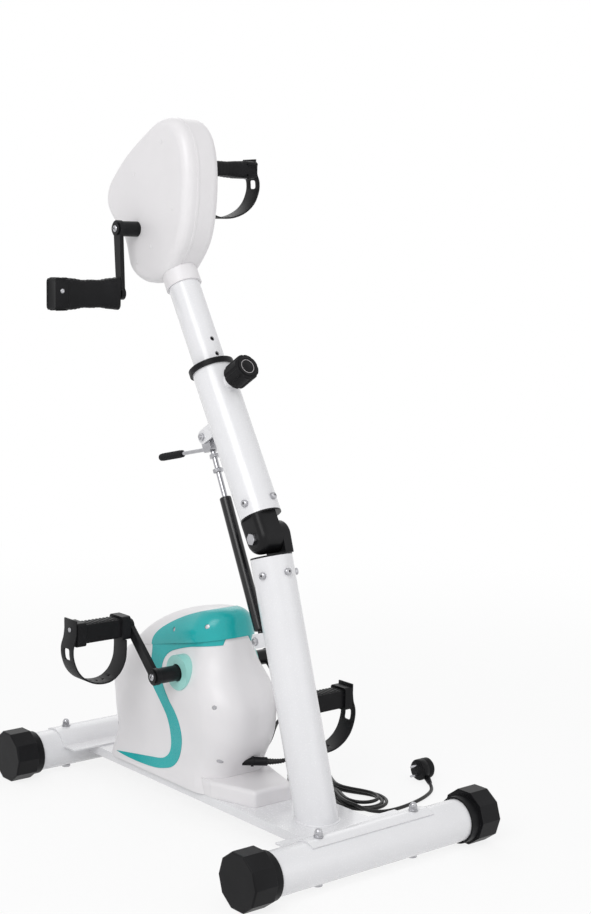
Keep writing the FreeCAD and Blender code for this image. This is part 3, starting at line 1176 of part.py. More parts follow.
def make_leg_drive():
    """Steel frame, bearings, pulleys, belt, gear motor and control board inside the housing."""
    x0 = -d.leg_offset
    wall = d.sheet_metal
    floor_z = d.tray_top + d.seat_gap
    back_y = d.frame_front_y + d.frame_depth
    left_x, right_x = x0 - d.frame_half, x0 + d.frame_half - wall
    plate = Part.makeBox(2 * d.frame_half, d.frame_depth, wall, Vector(left_x, d.frame_front_y, floor_z))
    cheeks = [Part.makeBox(wall, d.frame_cheek_depth, d.frame_top_z - floor_z,
                           Vector(x, d.frame_front_y, floor_z)) for x in (left_x, right_x)]
    motor_front = d.motor_y - d.motor_dia / 2
    motor_plate = Part.makeBox(wall, back_y - motor_front, d.motor_z + d.motor_dia / 2 - floor_z,
                               Vector(right_x, motor_front, floor_z))
    bearing_room = leg_bore(d.bearing_dia / 2 + d.run_play)
    shaft_line = Vector(x0, d.motor_y, d.motor_z)
    shaft_room = rod(d.motor_shaft_dia, shaft_line, shaft_line + X_AXIS * 2 * d.frame_half)
    frame = plate.fuse(cheeks + [motor_plate]).removeSplitter().cut([bearing_room, shaft_room])
    keep_shape("leg_frame", frame)

    rings = []
    for side in (LEFT, RIGHT):
        middle = leg_axis + X_AXIS * side * (d.frame_half - wall / 2)
        ring = rod(d.bearing_dia / 2, middle - X_AXIS * d.bearing_width / 2,
                   middle + X_AXIS * d.bearing_width / 2)
        rings.append(ring.cut(leg_bore(d.axle_dia / 2 + d.run_play)))
    keep_shape("leg_bearings", Part.makeCompound(rings))

    pulley_x = d.frame_half + d.bearing_width / 2 + d.side_gap
    wheel = rod(d.pulley_dia / 2, leg_axis + X_AXIS * pulley_x,
                leg_axis + X_AXIS * (pulley_x + d.pulley_width))
    keep_shape("leg_pulley", wheel.cut(leg_bore(d.axle_dia / 2 + d.seat_gap / 2)))
    small = rod(d.motor_pulley_dia / 2, shaft_line + X_AXIS * pulley_x,
                shaft_line + X_AXIS * (pulley_x + d.pulley_width))
    shaft_bore = rod(d.motor_shaft_dia / 2 + d.run_play, shaft_line, shaft_line + X_AXIS * 4 * d.frame_half)
    keep_shape("motor_pulley", small.cut(shaft_bore))

    def belt_form(extra):
        big_r, small_r = d.pulley_dia / 2 + extra, d.motor_pulley_dia / 2 + extra
        span = shaft_line - leg_axis
        lean = math.degrees(math.atan2(span.z, span.y))
        wrap = math.degrees(math.acos((big_r - small_r) / span.Length))
        big = [polar(leg_axis, big_r, lean + angle) for angle in (wrap, 180, -wrap)]
        little = [polar(shaft_line, small_r, lean + angle) for angle in (-wrap, 0, wrap)]
        wire = Part.Wire([Part.Arc(*big).toShape(), Part.LineSegment(big[-1], little[0]).toShape(),
                          Part.Arc(*little).toShape(), Part.LineSegment(little[-1], big[0]).toShape()])
        form = Part.Face(wire).extrude(X_AXIS * (d.pulley_width - 2 * d.seat_gap))
        form.translate(X_AXIS * (pulley_x + d.seat_gap))
        return form

    keep_shape("drive_belt", belt_form(d.seat_gap + d.belt_thick).cut(belt_form(d.seat_gap)))

    face_x = d.frame_half - wall - d.seat_gap
    barrel = rod(d.motor_dia / 2, shaft_line + X_AXIS * face_x,
                 shaft_line + X_AXIS * (face_x - d.motor_length))
    shaft = rod(d.motor_shaft_dia / 2, shaft_line + X_AXIS * (face_x - d.overrun),
                shaft_line + X_AXIS * (pulley_x + d.pulley_width))
    keep_shape("leg_motor", barrel.fuse(shaft))

    board_y = d.frame_front_y + d.frame_cheek_depth / 2
    board_x = x0 - d.frame_half - 2 * wall
    board = Part.makeBox(d.board_thick, d.board_width, d.board_height,
                         Vector(board_x, board_y - d.board_width / 2, floor_z + d.board_height / 2))
    posts = [rod(d.sheet_metal, Vector(board_x + d.board_thick / 2, board_y + y, floor_z + d.board_height + z),
                 Vector(x0 - d.frame_half - d.seat_gap, board_y + y, floor_z + d.board_height + z))
             for y in (-d.board_width * 0.4, d.board_width * 0.4)
             for z in (-d.board_height * 0.4, d.board_height * 0.4)]
    keep_shape("control_board", board.fuse(posts))


def make_arm_drive():
    """Gear motor of the arm head, standing on the plate across the top of the inner tube."""
    local_axis = upper_frame.inverse().multVec(arm_axis)
    gear_base = d.inner_top + d.head_plate + d.seat_gap
    box = Part.makeBox(2 * d.gearbox_half, d.gearbox_depth, d.gearbox_length,
                       Vector(-d.gearbox_half, local_axis.y - d.gearbox_depth / 2, gear_base))
    box = box.makeFillet(d.cover_round, along_x_edges(box))
    barrel_base = Vector(0, local_axis.y - d.gearbox_depth / 2 + d.gearmotor_dia / 2,
                         gear_base + d.gearbox_length)
    barrel = rod(d.gearmotor_dia / 2, barrel_base - Z_AXIS * d.overrun,
                 barrel_base + Z_AXIS * d.gearmotor_length)
    bore = rod(d.axle_dia / 2 + d.run_play, local_axis - X_AXIS * d.head_half,
               local_axis + X_AXIS * d.head_half)
    keep_shape("arm_gearmotor", box.fuse(barrel).cut(bore), upper_frame)


# The mains cord's free stretches, from the gland to the hank and from the hank to the plug.
CORD_LEAD = [
    (60.0, -115.0, 116.0), (79.0, -109.0, 128.0), (88.0, -99.0, 145.5), (91.0, -82.5, 162.5),
    (92.0, -58.0, 171.0), (96.0, -34.0, 163.0), (102.5, -15.5, 143.5), (107.5, -0.5, 118.5),
    (110.0, 19.0, 94.0), (110.5, 43.0, 73.0), (109.0, 68.0, 53.5), (107.0, 91.0, 36.5),
    (107.0, 113.0, 23.5), (120.0, 131.5, 14.5), (142.5, 138.5, 8.5), (165.0, 131.0, 5.0),
    (178.6, 112.0, 4.0),
]
CORD_TAIL = [
    (193.5, -181.5, 7.5), (214.0, -198.0, 4.0), (243.0, -204.0, 4.0), (275.0, -202.0, 4.0),
    (308.0, -196.0, 4.0), (339.0, -187.0, 4.0), (367.0, -174.0, 4.0), (389.0, -157.0, 4.0),
]
CORD_END = (404.0, -134.0, 5.5)
LOOPS_IN_COUNT = 2
LOOPS_OUT_COUNT = 1
RUN_TURN = 0.3


def cord_path(points):
    """Straight runs joined by tangent arcs, each as large as its two runs allow."""
    edges, radii, here = [], [], points[0]
    for before, corner, after in zip(points, points[1:], points[2:]):
        back, ahead = (before - corner), (after - corner)
        reach = min(back.Length, ahead.Length) * 0.45
        back.normalize()
        ahead.normalize()
        half_turn = (math.pi - back.getAngle(ahead)) / 2
        radii.append(reach / math.tan(half_turn))
        start, end = corner + back * reach, corner + ahead * reach
        middle_way = (back + ahead).normalize()
        middle = corner + middle_way * (radii[-1] / math.cos(half_turn) - radii[-1])
        edges.append(Part.LineSegment(here, start).toShape())
        edges.append(Part.Arc(start, middle, end).toShape())
        here = end
    edges.append(Part.LineSegment(here, points[-1]).toShape())
    return Part.Wire(edges), radii


def cord_solid(wire):
    """A round cord along a path."""
    start = wire.OrderedEdges[0]
    heading = start.tangentAt(start.FirstParameter)
    ring = Part.Wire(Part.makeCircle(d.cord_dia / 2, wire.OrderedVertexes[0].Point, heading))
    solid = wire.makePipeShell([ring], True, False)
    wanted = math.pi * (d.cord_dia / 2) ** 2 * wire.Length
    if abs(solid.Volume / wanted - 1) > 0.01:
        raise RuntimeError("the cord's volume does not match its section and length")
    return solid


def smooth(share):
    return 0.5 - 0.5 * math.cos(math.pi * share)


def hank_point(turn):
    """A point of the hank after so many loops: two ends drawn in towards each other at the waist."""
    loop = math.floor(turn)
    share = turn - loop
    half_run = d.hank_half_run
    steps = min(loop, LOOPS_IN_COUNT) - max(0, loop - LOOPS_IN_COUNT)
    outward = loop >= LOOPS_IN_COUNT
    change = smooth(min(max((share - 0.5) / RUN_TURN, 0), 1)) * (-1 if outward else 1)
    half = d.hank_inner_half + d.hank_step * (LOOPS_IN_COUNT - steps - change)
    rise = 0
    if outward:
        rise = smooth(min(share / RUN_TURN, 1)) if loop == LOOPS_IN_COUNT else 1
    z = d.hank_z + d.hank_layer * rise
    if share < RUN_TURN or 0.5 <= share < 0.5 + RUN_TURN:
        first = share < RUN_TURN
        along = half_run * (2 * (share if first else share - 0.5) / RUN_TURN - 1)
        waist = d.hank_waist * math.cos(math.pi * along / (2 * half_run)) ** 2
        u, v = (along, -half + waist) if first else (-along, half - waist)
    else:
        first = share < 0.5
        angle = math.pi * ((share - (RUN_TURN if first else 0.5 + RUN_TURN)) / (0.5 - RUN_TURN) - 0.5)
        side = 1 if first else -1
        u, v = side * (half_run + half * math.cos(angle)), side * half * math.sin(angle)
    return Vector(d.hank_x + v, d.hank_y - u, z)


def hank_heading(turn):
    step = 1e-4
    return (hank_point(turn + step) - hank_point(turn - step)).normalize()


def biarc(start, start_way, end, end_way):
    """Two arcs that join two points and follow the heading at each."""
    gap = end - start
    ways = start_way + end_way
    b = gap.dot(ways)
    a = 2 * (1 - start_way.dot(end_way))
    size = gap.dot(gap)
    reach = (math.sqrt(b * b + a * size) - b) / a if a > 1e-9 else size / (4 * gap.dot(end_way))
    joint = ((start + start_way * reach) + (end - end_way * reach)) * 0.5
    edges = []
    for point, way, far in ((start, start_way, joint), (end, end_way * -1, joint)):
        chord = far - point
        flat = way.getAngle(chord) < 1e-4
        if flat:
            edge = Part.LineSegment(point, far).toShape()
        else:
            bend = way.getAngle(chord)
            across = (way * chord.Length - chord * math.cos(bend)).normalize()
            middle = (point + far) * 0.5 + across * (chord.Length / 2 * math.tan(bend / 2))
            edge = Part.Arc(point, middle, far).toShape()
        edges.append(edge)
    return edges


LOOP_STOPS = [RUN_TURN * share for share in (0, 0.25, 0.5, 0.75)]
LOOP_STOPS += [RUN_TURN + (0.5 - RUN_TURN) * share for share in (0, 0.5)]
LOOP_STOPS += [0.5 + stop for stop in LOOP_STOPS]


def make_cord():
    """Gland, lead, hank, tail and angled plug of the mains cord."""
    aim = gland_frame()
    barrel = Part.makeCylinder(d.gland_dia / 2, d.gland_length, ZERO)
    surface = d.gland_length - 1.5 * d.gland_flange_dia
    flange = Part.makeCylinder(d.gland_flange_dia / 2, d.gland_flange, Vector(0, 0, surface))
    gland = barrel.fuse(flange)
    gland.Placement = aim
    keep_shape("cord_gland", gland.cut(body_solid(0).cut(body_solid(d.shell_wall)).cut(gland_clearance())))
    exit_point, first_bend = [aim.multVec(Vector(0, 0, d.gland_length * share)) for share in (1, 1.5)]

    last_turn = LOOPS_IN_COUNT + LOOPS_OUT_COUNT + RUN_TURN
    stops = [loop + stop for loop in range(LOOPS_IN_COUNT + LOOPS_OUT_COUNT + 1) for stop in LOOP_STOPS]
    stops = [stop for stop in stops if stop < last_turn - RUN_TURN * 0.1] + [last_turn]
    hank_start, hank_end = hank_point(0), hank_point(last_turn)
    away = Vector(0, -d.cord_dia, 0)
    edges = [Part.LineSegment(hank_start - away, hank_start).toShape()]
    for here, after in zip(stops, stops[1:]):
        edges += biarc(hank_point(here), hank_heading(here) if here > 0 else Vector(0, -1, 0),
                       hank_point(after), hank_heading(after) if after < last_turn else Vector(0, -1, 0))
    edges.append(Part.LineSegment(hank_end, hank_end + away).toShape())
    hank_wire = Part.Wire(edges)
    keep_shape("cord_hank", cord_solid(hank_wire))

    lead_end = hank_start - away
    lead = [exit_point, first_bend] + [Vector(*point) for point in CORD_LEAD]
    lead += [lead_end + Vector(d.sheet_metal / 4, d.tube_dia * 0.66, 0),
             lead_end + Vector(0, d.tube_dia / 3, 0), lead_end]
    tail_start = hank_end + away
    tail = [tail_start, tail_start + Vector(0, -d.tube_dia * 0.3, 0)]
    tail += [Vector(*point) for point in CORD_TAIL]
    tail.append(Vector(*CORD_END))
    total = hank_wire.Length
    for node, points in (("cord_lead", lead), ("cord_tail", tail)):
        wire, radii = cord_path(points)
        total += wire.Length
        keep_shape(node, cord_solid(wire))
        print(node, "radii", [round(radius, 1) for radius in radii])
    count = 900
    samples = [hank_point(last_turn * number / count) for number in range(count + 1)]
    per_loop = count / last_turn
    least = min((samples[i] - samples[j]).Length for i in range(0, count, 2)
                for j in range(i + int(per_loop * 0.25), count + 1))
    print("cord length", round(total, 1), "least gap in the hank", round(least - d.cord_dia, 2))


def gland_clearance():
    room = Part.makeCylinder(d.gland_dia / 2 + d.seat_gap / 2, d.gland_length, ZERO)
    room.Placement = gland_frame()
    return room


def make_plug():
    """An angled mains plug lying on its rim, with two round pins and a side entry."""
    radius = d.plug_dia / 2
    face = Vector(d.plug_x, d.plug_y, radius + d.side_gap)
    disc = Part.makeCylinder(radius, d.plug_body_depth, face, X_AXIS)
    rims = [edge for edge in disc.Edges if isinstance(edge.Curve, Part.Circle)]
    disc = disc.makeFillet(d.cap_rim, rims)
    pins = [rod(d.plug_pin_dia / 2, face + Vector(d.overrun, 0, side * d.plug_pin_spacing / 2),
                face + Vector(-d.plug_pin_length, 0, side * d.plug_pin_spacing / 2))
            for side in (LEFT, RIGHT)]
    end = Vector(*CORD_END)
    way = (end - Vector(*CORD_TAIL[-1])).normalize()
    relief = Part.makeCone(d.relief_dia / 2 * 0.8, d.relief_dia / 2 * 1.2, d.plug_dia * 0.8, end, way)
    floor_cut = Part.makeBox(4 * d.plug_dia, 4 * d.plug_dia, d.plug_dia,
                             end - Vector(2 * d.plug_dia, 2 * d.plug_dia, d.plug_dia + end.z - d.side_gap))
    keep_shape("plug", disc.fuse(pins + [relief]).cut(floor_cut))


for step in (make_base_tubes, make_end_caps, make_tray, make_saddles, make_base_bolts, make_lower_mast,
             make_hinge, make_upper_mast, make_collar_ring, make_lock_knob, make_inner_mast, make_gas_spring,
             make_arm_head, make_arm_screws, make_arm_drive, make_leg_housing, make_terminal_cover,
             make_leg_drive, make_arm_grips, make_leg_pedals, make_cord, make_plug):
    step()
make_cranks("arm", arm_axis, arm_outer, arm_inner, d.arm_crank_length, d.arm_crank_deg,
            d.grip_length - d.grip_end_block)
make_cranks("leg", leg_axis, leg_outer, leg_inner, d.leg_crank_length, d.leg_crank_deg,
            d.pedal_length - d.pedal_block)

doc.recompute()
for obj in doc.Objects:
    if "Invalid" in obj.State or "Error" in obj.State:
        raise RuntimeError(f"{obj.Name} did not recompute: {obj.State}")
for node, obj in nodes.items():
    if obj.Shape.isNull() or not obj.Shape.isValid() or not obj.Shape.Solids:
        raise RuntimeError(f"{node} has no valid solid")
for node, obj in nodes.items():
    obj.Shape.exportStep(os.path.join("parts", node + ".step"))
print(len(nodes), "nodes")
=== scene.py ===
"""Looks, soft parts and small details of the arm and leg pedal exerciser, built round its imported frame.

Sizes are in millimetres in the dataclasses and become metres where a mesh is made. The origin is on
the floor midway between the base tubes, +Z is up, and the user sits on the +Y side.
"""
import logging
import math
from contextlib import contextmanager
from dataclasses import dataclass
from enum import Enum
from typing import Callable, Iterator, Sequence

import bmesh
import bpy
from mathutils import Matrix, Vector


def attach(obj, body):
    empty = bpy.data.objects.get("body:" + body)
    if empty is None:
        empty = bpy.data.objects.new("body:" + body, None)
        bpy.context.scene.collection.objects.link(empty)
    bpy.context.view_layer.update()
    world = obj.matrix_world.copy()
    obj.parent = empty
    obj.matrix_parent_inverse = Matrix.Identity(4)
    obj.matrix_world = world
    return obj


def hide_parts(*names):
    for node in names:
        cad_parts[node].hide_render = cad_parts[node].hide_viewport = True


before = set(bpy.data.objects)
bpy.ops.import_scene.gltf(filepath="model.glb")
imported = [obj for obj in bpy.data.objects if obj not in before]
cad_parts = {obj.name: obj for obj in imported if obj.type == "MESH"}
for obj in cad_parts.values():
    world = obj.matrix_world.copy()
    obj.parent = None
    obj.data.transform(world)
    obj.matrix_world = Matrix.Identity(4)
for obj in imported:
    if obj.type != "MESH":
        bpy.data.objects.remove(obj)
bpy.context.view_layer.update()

log = logging.getLogger("pedal_exerciser")

MM = 0.001
X_AXIS = Vector((1, 0, 0))
Y_AXIS = Vector((0, 1, 0))
Z_AXIS = Vector((0, 0, 1))

Point = tuple[float, float, float]
Pair = tuple[float, float]
Socket = bpy.types.NodeSocket


class Side(Enum):
    """The machine's two sides as signs of X."""

    LEFT = -1
    RIGHT = 1

    @property
    def label(self) -> str:
        """The side's word in node and piece names."""
        return self.name.lower()


def metres(point: Sequence[float]) -> Vector:
    """A point given in millimetres, in metres."""
    return Vector(point) * MM


def along(way: Vector, at: Vector) -> Matrix:
    """The matrix that stands a shape made along +Z at a point with its Z on a direction.

    Args:
        way: Direction of the shape's own Z axis.
        at: Place of the shape's origin, in metres.

    Returns:
        The placing matrix.
    """
    return Matrix.Translation(at) @ way.to_track_quat("Z", "Y").to_matrix().to_4x4()


def put(name: str, data: bpy.types.ID) -> bpy.types.Object:
    """Link a new object of some data to the scene.

    Args:
        name: The object's name.
        data: Its mesh, curve, camera or light.

    Returns:
        The object.
    """
    obj = bpy.data.objects.new(name, data)
    bpy.context.scene.collection.objects.link(obj)
    return obj


# Finishes


class Graph:
    """A node tree with short ways to add nodes, set values and join sockets."""

    def __init__(self, tree: bpy.types.NodeTree) -> None:
        """Keep the tree."""
        self.tree = tree

    def fill(self, node: bpy.types.Node, **values: object) -> bpy.types.Node:
        """Set values on a node's own inputs.

        Args:
            node: The node.
            values: Value of each input, its name written with _ for a blank.

        Returns:
            The same node.
        """
        for key, value in values.items():
            node.inputs[key.replace("_", " ")].default_value = value
        return node

    def add(self, kind: str, operation: str = "", **values: object) -> bpy.types.Node:
        """Add a shader node.

        Args:
            kind: Its type without "ShaderNode".
            operation: Its operation, for a maths node.
            values: Values of its inputs.

        Returns:
            The new node.
        """
        node = self.tree.nodes.new("ShaderNode" + kind)
        if operation:
            node.operation = operation
        return self.fill(node, **values)

    def join(self, source: Socket, node: bpy.types.Node, target: str | int) -> None:
        """Lead a socket into a node's input."""
        self.tree.links.new(source, node.inputs[target])

    def noise(self, place: Socket, scale: float, detail: float) -> Socket:
        """Add a noise texture.

        Args:
            place: Where it is read.
            scale: Features per metre.
            detail: Octaves of the noise.

        Returns:
            Its value.
        """
        noise = self.add("TexNoise", Scale=scale, Detail=detail)
        self.join(place, noise, "Vector")
        return noise.outputs["Fac"]

    def maths(self, operation: str, first: Socket, second: Socket) -> Socket:
        """Work two values into one.

        Args:
            operation: The maths node's operation.
            first: One value.
            second: The other value.

        Returns:
            The result.
        """
        node = self.add("Math", operation)
        self.join(first, node, 0)
        self.join(second, node, 1)
        return node.outputs["Value"]

    def bump(self, height: Socket, normal: Socket, depth: float) -> Socket:
        """Add a bump.

        Args:
            height: The height.
            normal: The normal below.
            depth: Full depth in millimetres.

        Returns:
            The bumped normal.
        """
        bump = self.add("Bump", Strength=1.0, Distance=depth * MM)
        self.join(height, bump, "Height")
        self.join(normal, bump, "Normal")
        return bump.outputs["Normal"]

    def blend(self, share: Socket, first: Socket, second: Socket) -> Socket:
        """Mix two shaders.

        Args:
            share: Share of the second.
            first: One shader.
            second: The other shader.

        Returns:
            The mixed shader.
        """
        mix = self.add("MixShader")
        for target, source in enumerate((share, first, second)):
            self.join(source, mix, target)
        return mix.outputs["Shader"]

    def seen_rays(self) -> Socket:
        """Tell the rays that come from the camera, a reflection or glass.

        Returns:
            One for such a ray, else nought.
        """
        path = self.add("LightPath")
        near = self.maths("MAXIMUM", path.outputs["Is Camera Ray"], path.outputs["Is Glossy Ray"])
        return self.maths("MAXIMUM", near, path.outputs["Is Transmission Ray"])


@dataclass(frozen=True)
class Finish:
    """One procedural finish: a base colour with drift, grain in the surface and worn edges.

    Colours are linear. Scales are features per metre and depths are in millimetres.
    """

    name: str
    colour: Point
    roughness: float
    metallic: float = 0.0
    drift: float = 0.06
    drift_scale: float = 14.0
    drift_detail: float = 4.0
    drift_band: tuple[float, float] = (0.35, 0.65)
    grain_scale: float = 900.0
    grain_detail: float = 3.0
    grain_depth: float = 0.02
    rough_span: float = 0.06
    rough_least: float = 0.03
    edge_lift: float = 0.10
    edge_radius: float = 0.7
    edge_band: tuple[float, float] = (0.99, 0.80)
    edge_samples: int = 6
    coat: float = 0.0
    coat_roughness: float = 0.12
    specular: float = 0.5
    rib_scale: float = 0.0
    rib_depth: float = 0.0

    def build(self) -> bpy.types.Material:
        """Make the node material.

        Returns:
            The new material.
        """
        material = bpy.data.materials.new(self.name)
        material.use_nodes = True
        graph = Graph(material.node_tree)
        shader = graph.fill(material.node_tree.nodes["Principled BSDF"], Metallic=self.metallic,
                            Coat_Weight=self.coat, Coat_Roughness=self.coat_roughness,
                            Specular_IOR_Level=self.specular)
        place = graph.add("TexCoord").outputs["Object"]
        clouds = graph.noise(place, self.drift_scale, self.drift_detail)
        grain = graph.noise(place, self.grain_scale, self.grain_detail)
        graph.join(self._colour(graph, clouds), shader, "Base Color")
        graph.join(self._roughness(graph, grain), shader, "Roughness")
        graph.join(self._normal(graph, grain, place), shader, "Normal")
        return material

    def _bevel(self, graph: Graph) -> Socket:
        """Round the normal over edges.

        Args:
            graph: The material's nodes.

        Returns:
            The rounded normal.
        """
        bevel = graph.add("Bevel", Radius=self.edge_radius * MM)
        bevel.samples = self.edge_samples
        return bevel.outputs["Normal"]

    def _edge_mask(self, graph: Graph) -> Socket:
        """A value that is one along sharp edges and nought on flat faces.

        Args:
            graph: The material's nodes.

        Returns:
            The value.
        """
        dot = graph.add("VectorMath", "DOT_PRODUCT")
        graph.join(self._bevel(graph), dot, 0)
        graph.join(graph.add("NewGeometry").outputs["Normal"], dot, 1)
        ramp = graph.add("MapRange", From_Min=self.edge_band[0], From_Max=self.edge_band[1])
        graph.join(dot.outputs["Value"], ramp, "Value")
        return ramp.outputs["Result"]

    def _colour(self, graph: Graph, clouds: Socket) -> Socket:
        """Colour from slow drift, lifted where edges are rubbed.

        Args:
            graph: The material's nodes.
            clouds: Slow noise.

        Returns:
            The colour.
        """
        ramp = graph.add("ValToRGB")
        for element, position, share in zip(ramp.color_ramp.elements, self.drift_band,
                                            (1 - self.drift, 1 + self.drift)):
            element.position = position
            element.color = (*(min(channel * share, 1.0) for channel in self.colour), 1.0)
        graph.join(clouds, ramp, "Fac")
        mix = graph.add("Mix")
        mix.data_type = "RGBA"
        lifted = (min(channel + self.edge_lift * (1 - channel) / 2, 1.0) for channel in self.colour)
        mix.inputs["B"].default_value = (*lifted, 1.0)
        graph.join(graph.maths("MULTIPLY", self._edge_mask(graph), clouds), mix, "Factor")
        graph.join(ramp.outputs["Color"], mix, "A")
        return mix.outputs["Result"]

    def _roughness(self, graph: Graph, grain: Socket) -> Socket:
        """Roughness that follows the grain.

        Args:
            graph: The material's nodes.
            grain: Fine noise.

        Returns:
            The roughness.
        """
        span = graph.add("MapRange", To_Min=max(self.roughness - self.rough_span, self.rough_least),
                         To_Max=min(self.roughness + self.rough_span, 1.0))
        graph.join(grain, span, "Value")
        return span.outputs["Result"]

    def _normal(self, graph: Graph, grain: Socket, place: Socket) -> Socket:
        """Rounded edges under the grain's bump, with fine ribs where the finish has them.

        Args:
            graph: The material's nodes.
            grain: Fine noise.
            place: Where textures are read.

        Returns:
            The normal.
        """
        normal = self._bevel(graph)
        if self.rib_scale:
            ribs = graph.add("TexWave", Scale=self.rib_scale)
            ribs.bands_direction = "X"
            graph.join(place, ribs, "Vector")
            normal = graph.bump(ribs.outputs["Fac"], normal, self.rib_depth)
        return graph.bump(grain, normal, self.grain_depth)


class Look(Enum):
    """Every finish of the machine."""

    WHITE_PAINT = Finish("white_powder_coat", (0.80, 0.80, 0.82), 0.26, drift=0.012, grain_scale=420.0,
                         grain_depth=0.012, coat=0.35, edge_lift=0.0)
    BLACK_PAINT = Finish("black_powder_coat", (0.008, 0.008, 0.009), 0.34, drift=0.2, grain_scale=700.0,
                         grain_depth=0.02, specular=0.18, edge_lift=0.05)
    WHITE_SHELL = Finish("white_moulding", (0.80, 0.785, 0.80), 0.36, drift=0.012, grain_scale=1500.0,
                         grain_depth=0.006, edge_lift=0.0)
    TEAL_SHELL = Finish("teal_moulding", (0.014, 0.405, 0.410), 0.28, drift=0.05, grain_scale=1400.0,
                        grain_depth=0.006, coat=0.15, specular=0.36, edge_lift=0.1)
    PALE_TEAL = Finish("pale_teal_ring", (0.33, 0.68, 0.63), 0.32, drift=0.03, grain_scale=1400.0,
                       grain_depth=0.006, edge_lift=0.05)
    BLACK_PLASTIC = Finish("black_moulding", (0.008, 0.008, 0.009), 0.42, drift=0.25, grain_scale=1300.0,
                           grain_depth=0.03, rough_span=0.1, specular=0.13, edge_lift=0.04)
    GRIP_RUBBER = Finish("grip_rubber", (0.009, 0.009, 0.010), 0.60, drift=0.25, grain_scale=1100.0,
                         grain_depth=0.07, rough_span=0.1, specular=0.16, edge_lift=0.03)
    STRAP_RUBBER = Finish("strap_rubber", (0.010, 0.010, 0.011), 0.50, drift=0.25, grain_scale=1600.0,
                          grain_depth=0.03, rough_span=0.1, specular=0.2, edge_lift=0.04, rib_scale=90.0,
                          rib_depth=0.05)
    STEEL = Finish("zinc_plated_steel", (0.44, 0.44, 0.46), 0.27, metallic=1.0, drift=0.12, drift_scale=60.0,
                   grain_scale=900.0, grain_depth=0.008, rough_span=0.1)
    CHROME = Finish("hard_chrome", (0.40, 0.40, 0.42), 0.14, metallic=1.0, drift=0.02, grain_scale=500.0,
                    grain_depth=0.002, rough_span=0.04)
    GAS_BLACK = Finish("gas_spring_black", (0.009, 0.009, 0.010), 0.22, drift=0.15, grain_scale=600.0,
                       grain_depth=0.01, specular=0.4, edge_lift=0.03)
    MOTOR_METAL = Finish("cast_aluminium", (0.42, 0.43, 0.45), 0.48, metallic=1.0, drift=0.12,
                         drift_scale=30.0, grain_scale=600.0, grain_depth=0.06, rough_span=0.12)
    BOARD_GREEN = Finish("circuit_board", (0.015, 0.12, 0.04), 0.35, drift=0.5, drift_scale=220.0,
                         grain_scale=700.0, grain_depth=0.05)
    BELT_RUBBER = Finish("belt_rubber", (0.015, 0.015, 0.015), 0.7, drift=0.2, grain_scale=900.0,
                         grain_depth=0.06, rib_scale=120.0, rib_depth=0.3)
    CORD_RUBBER = Finish("cord_sheath", (0.009, 0.009, 0.009), 0.40, drift=0.3, drift_scale=40.0,
                         grain_scale=1500.0, grain_depth=0.015, rough_span=0.1, specular=0.3, edge_lift=0.03)
    # Pale grey of the thin raised ring on the lock knob's face, standing for the bright rim circle round the
    # face's inner disc.
    KNOB_RING_GREY = Finish("knob_ring_grey", (0.50, 0.48, 0.49), 0.6, drift=0.05, grain_scale=500.0, edge_lift=0.0)
    # Painted shade: a near-black finish for the discs put at the bottom of bolt sockets, where the recess is
    # in shade.
    SOCKET_SHADE = Finish("shadow_gap", (0.05, 0.05, 0.05), 0.8, drift=0.1, grain_scale=500.0, edge_lift=0.0)


class Paintbox:
    """Makes each finish once and dresses objects with it."""

    def __init__(self) -> None:
        """Start with no material made."""
        self.made: dict[Look, bpy.types.Material] = {}

    def material(self, look: Look) -> bpy.types.Material:
        """The material of a look, made on first use.

        Args:
            look: The look.

        Returns:
            Its material.
        """
        if look not in self.made:
            self.made[look] = look.value.build()
        return self.made[look]

    def dress(self, piece: bpy.types.Object, look: Look) -> None:
        """Give a whole object one look.

        Args:
            piece: A mesh or curve object.
            look: Its finish.
        """
        piece.data.materials.clear()
        piece.data.materials.append(self.material(look))


PAINTS = Paintbox()

NODE_LOOKS: dict[Look, tuple[str, ...]] = {
    Look.WHITE_PAINT: ("base_tubes", "base_tray", "saddles", "lower_mast", "upper_mast", "inner_mast",
                       "spring_bracket_lower", "spring_bracket_upper"),
    Look.BLACK_PAINT: ("hinge_tongue", "hinge_fork", "arm_crank_left", "arm_crank_right",
                       "leg_crank_left", "leg_crank_right", "arm_crank_bolts", "leg_crank_bolts"),
    Look.WHITE_SHELL: ("mast_neck", "arm_shell_left", "arm_shell_right", "leg_shell_left",
                       "leg_shell_right", "crown_cover", "terminal_cover", "arm_screws"),
    Look.TEAL_SHELL: ("teal_inlays",),
    Look.PALE_TEAL: ("hub_rings",),
    Look.BLACK_PLASTIC: ("end_caps", "collar_ring", "lock_knob", "cord_gland", "leg_pedal_left",
                         "leg_pedal_right", "leg_pulley"),
    Look.STEEL: ("base_bolts", "hinge_bolt", "mast_bolts", "arm_axle", "shell_screws", "leg_frame",
                 "leg_bearings", "motor_pulley", "leg_axle", "release_head"),
    Look.CHROME: ("gas_rod",),
    Look.GAS_BLACK: ("gas_cylinder",),
    Look.MOTOR_METAL: ("arm_gearmotor", "leg_motor"),
    Look.BOARD_GREEN: ("control_board",),
    Look.BELT_RUBBER: ("drive_belt",),
    Look.GRIP_RUBBER: ("release_lever",),
}


# Modelling


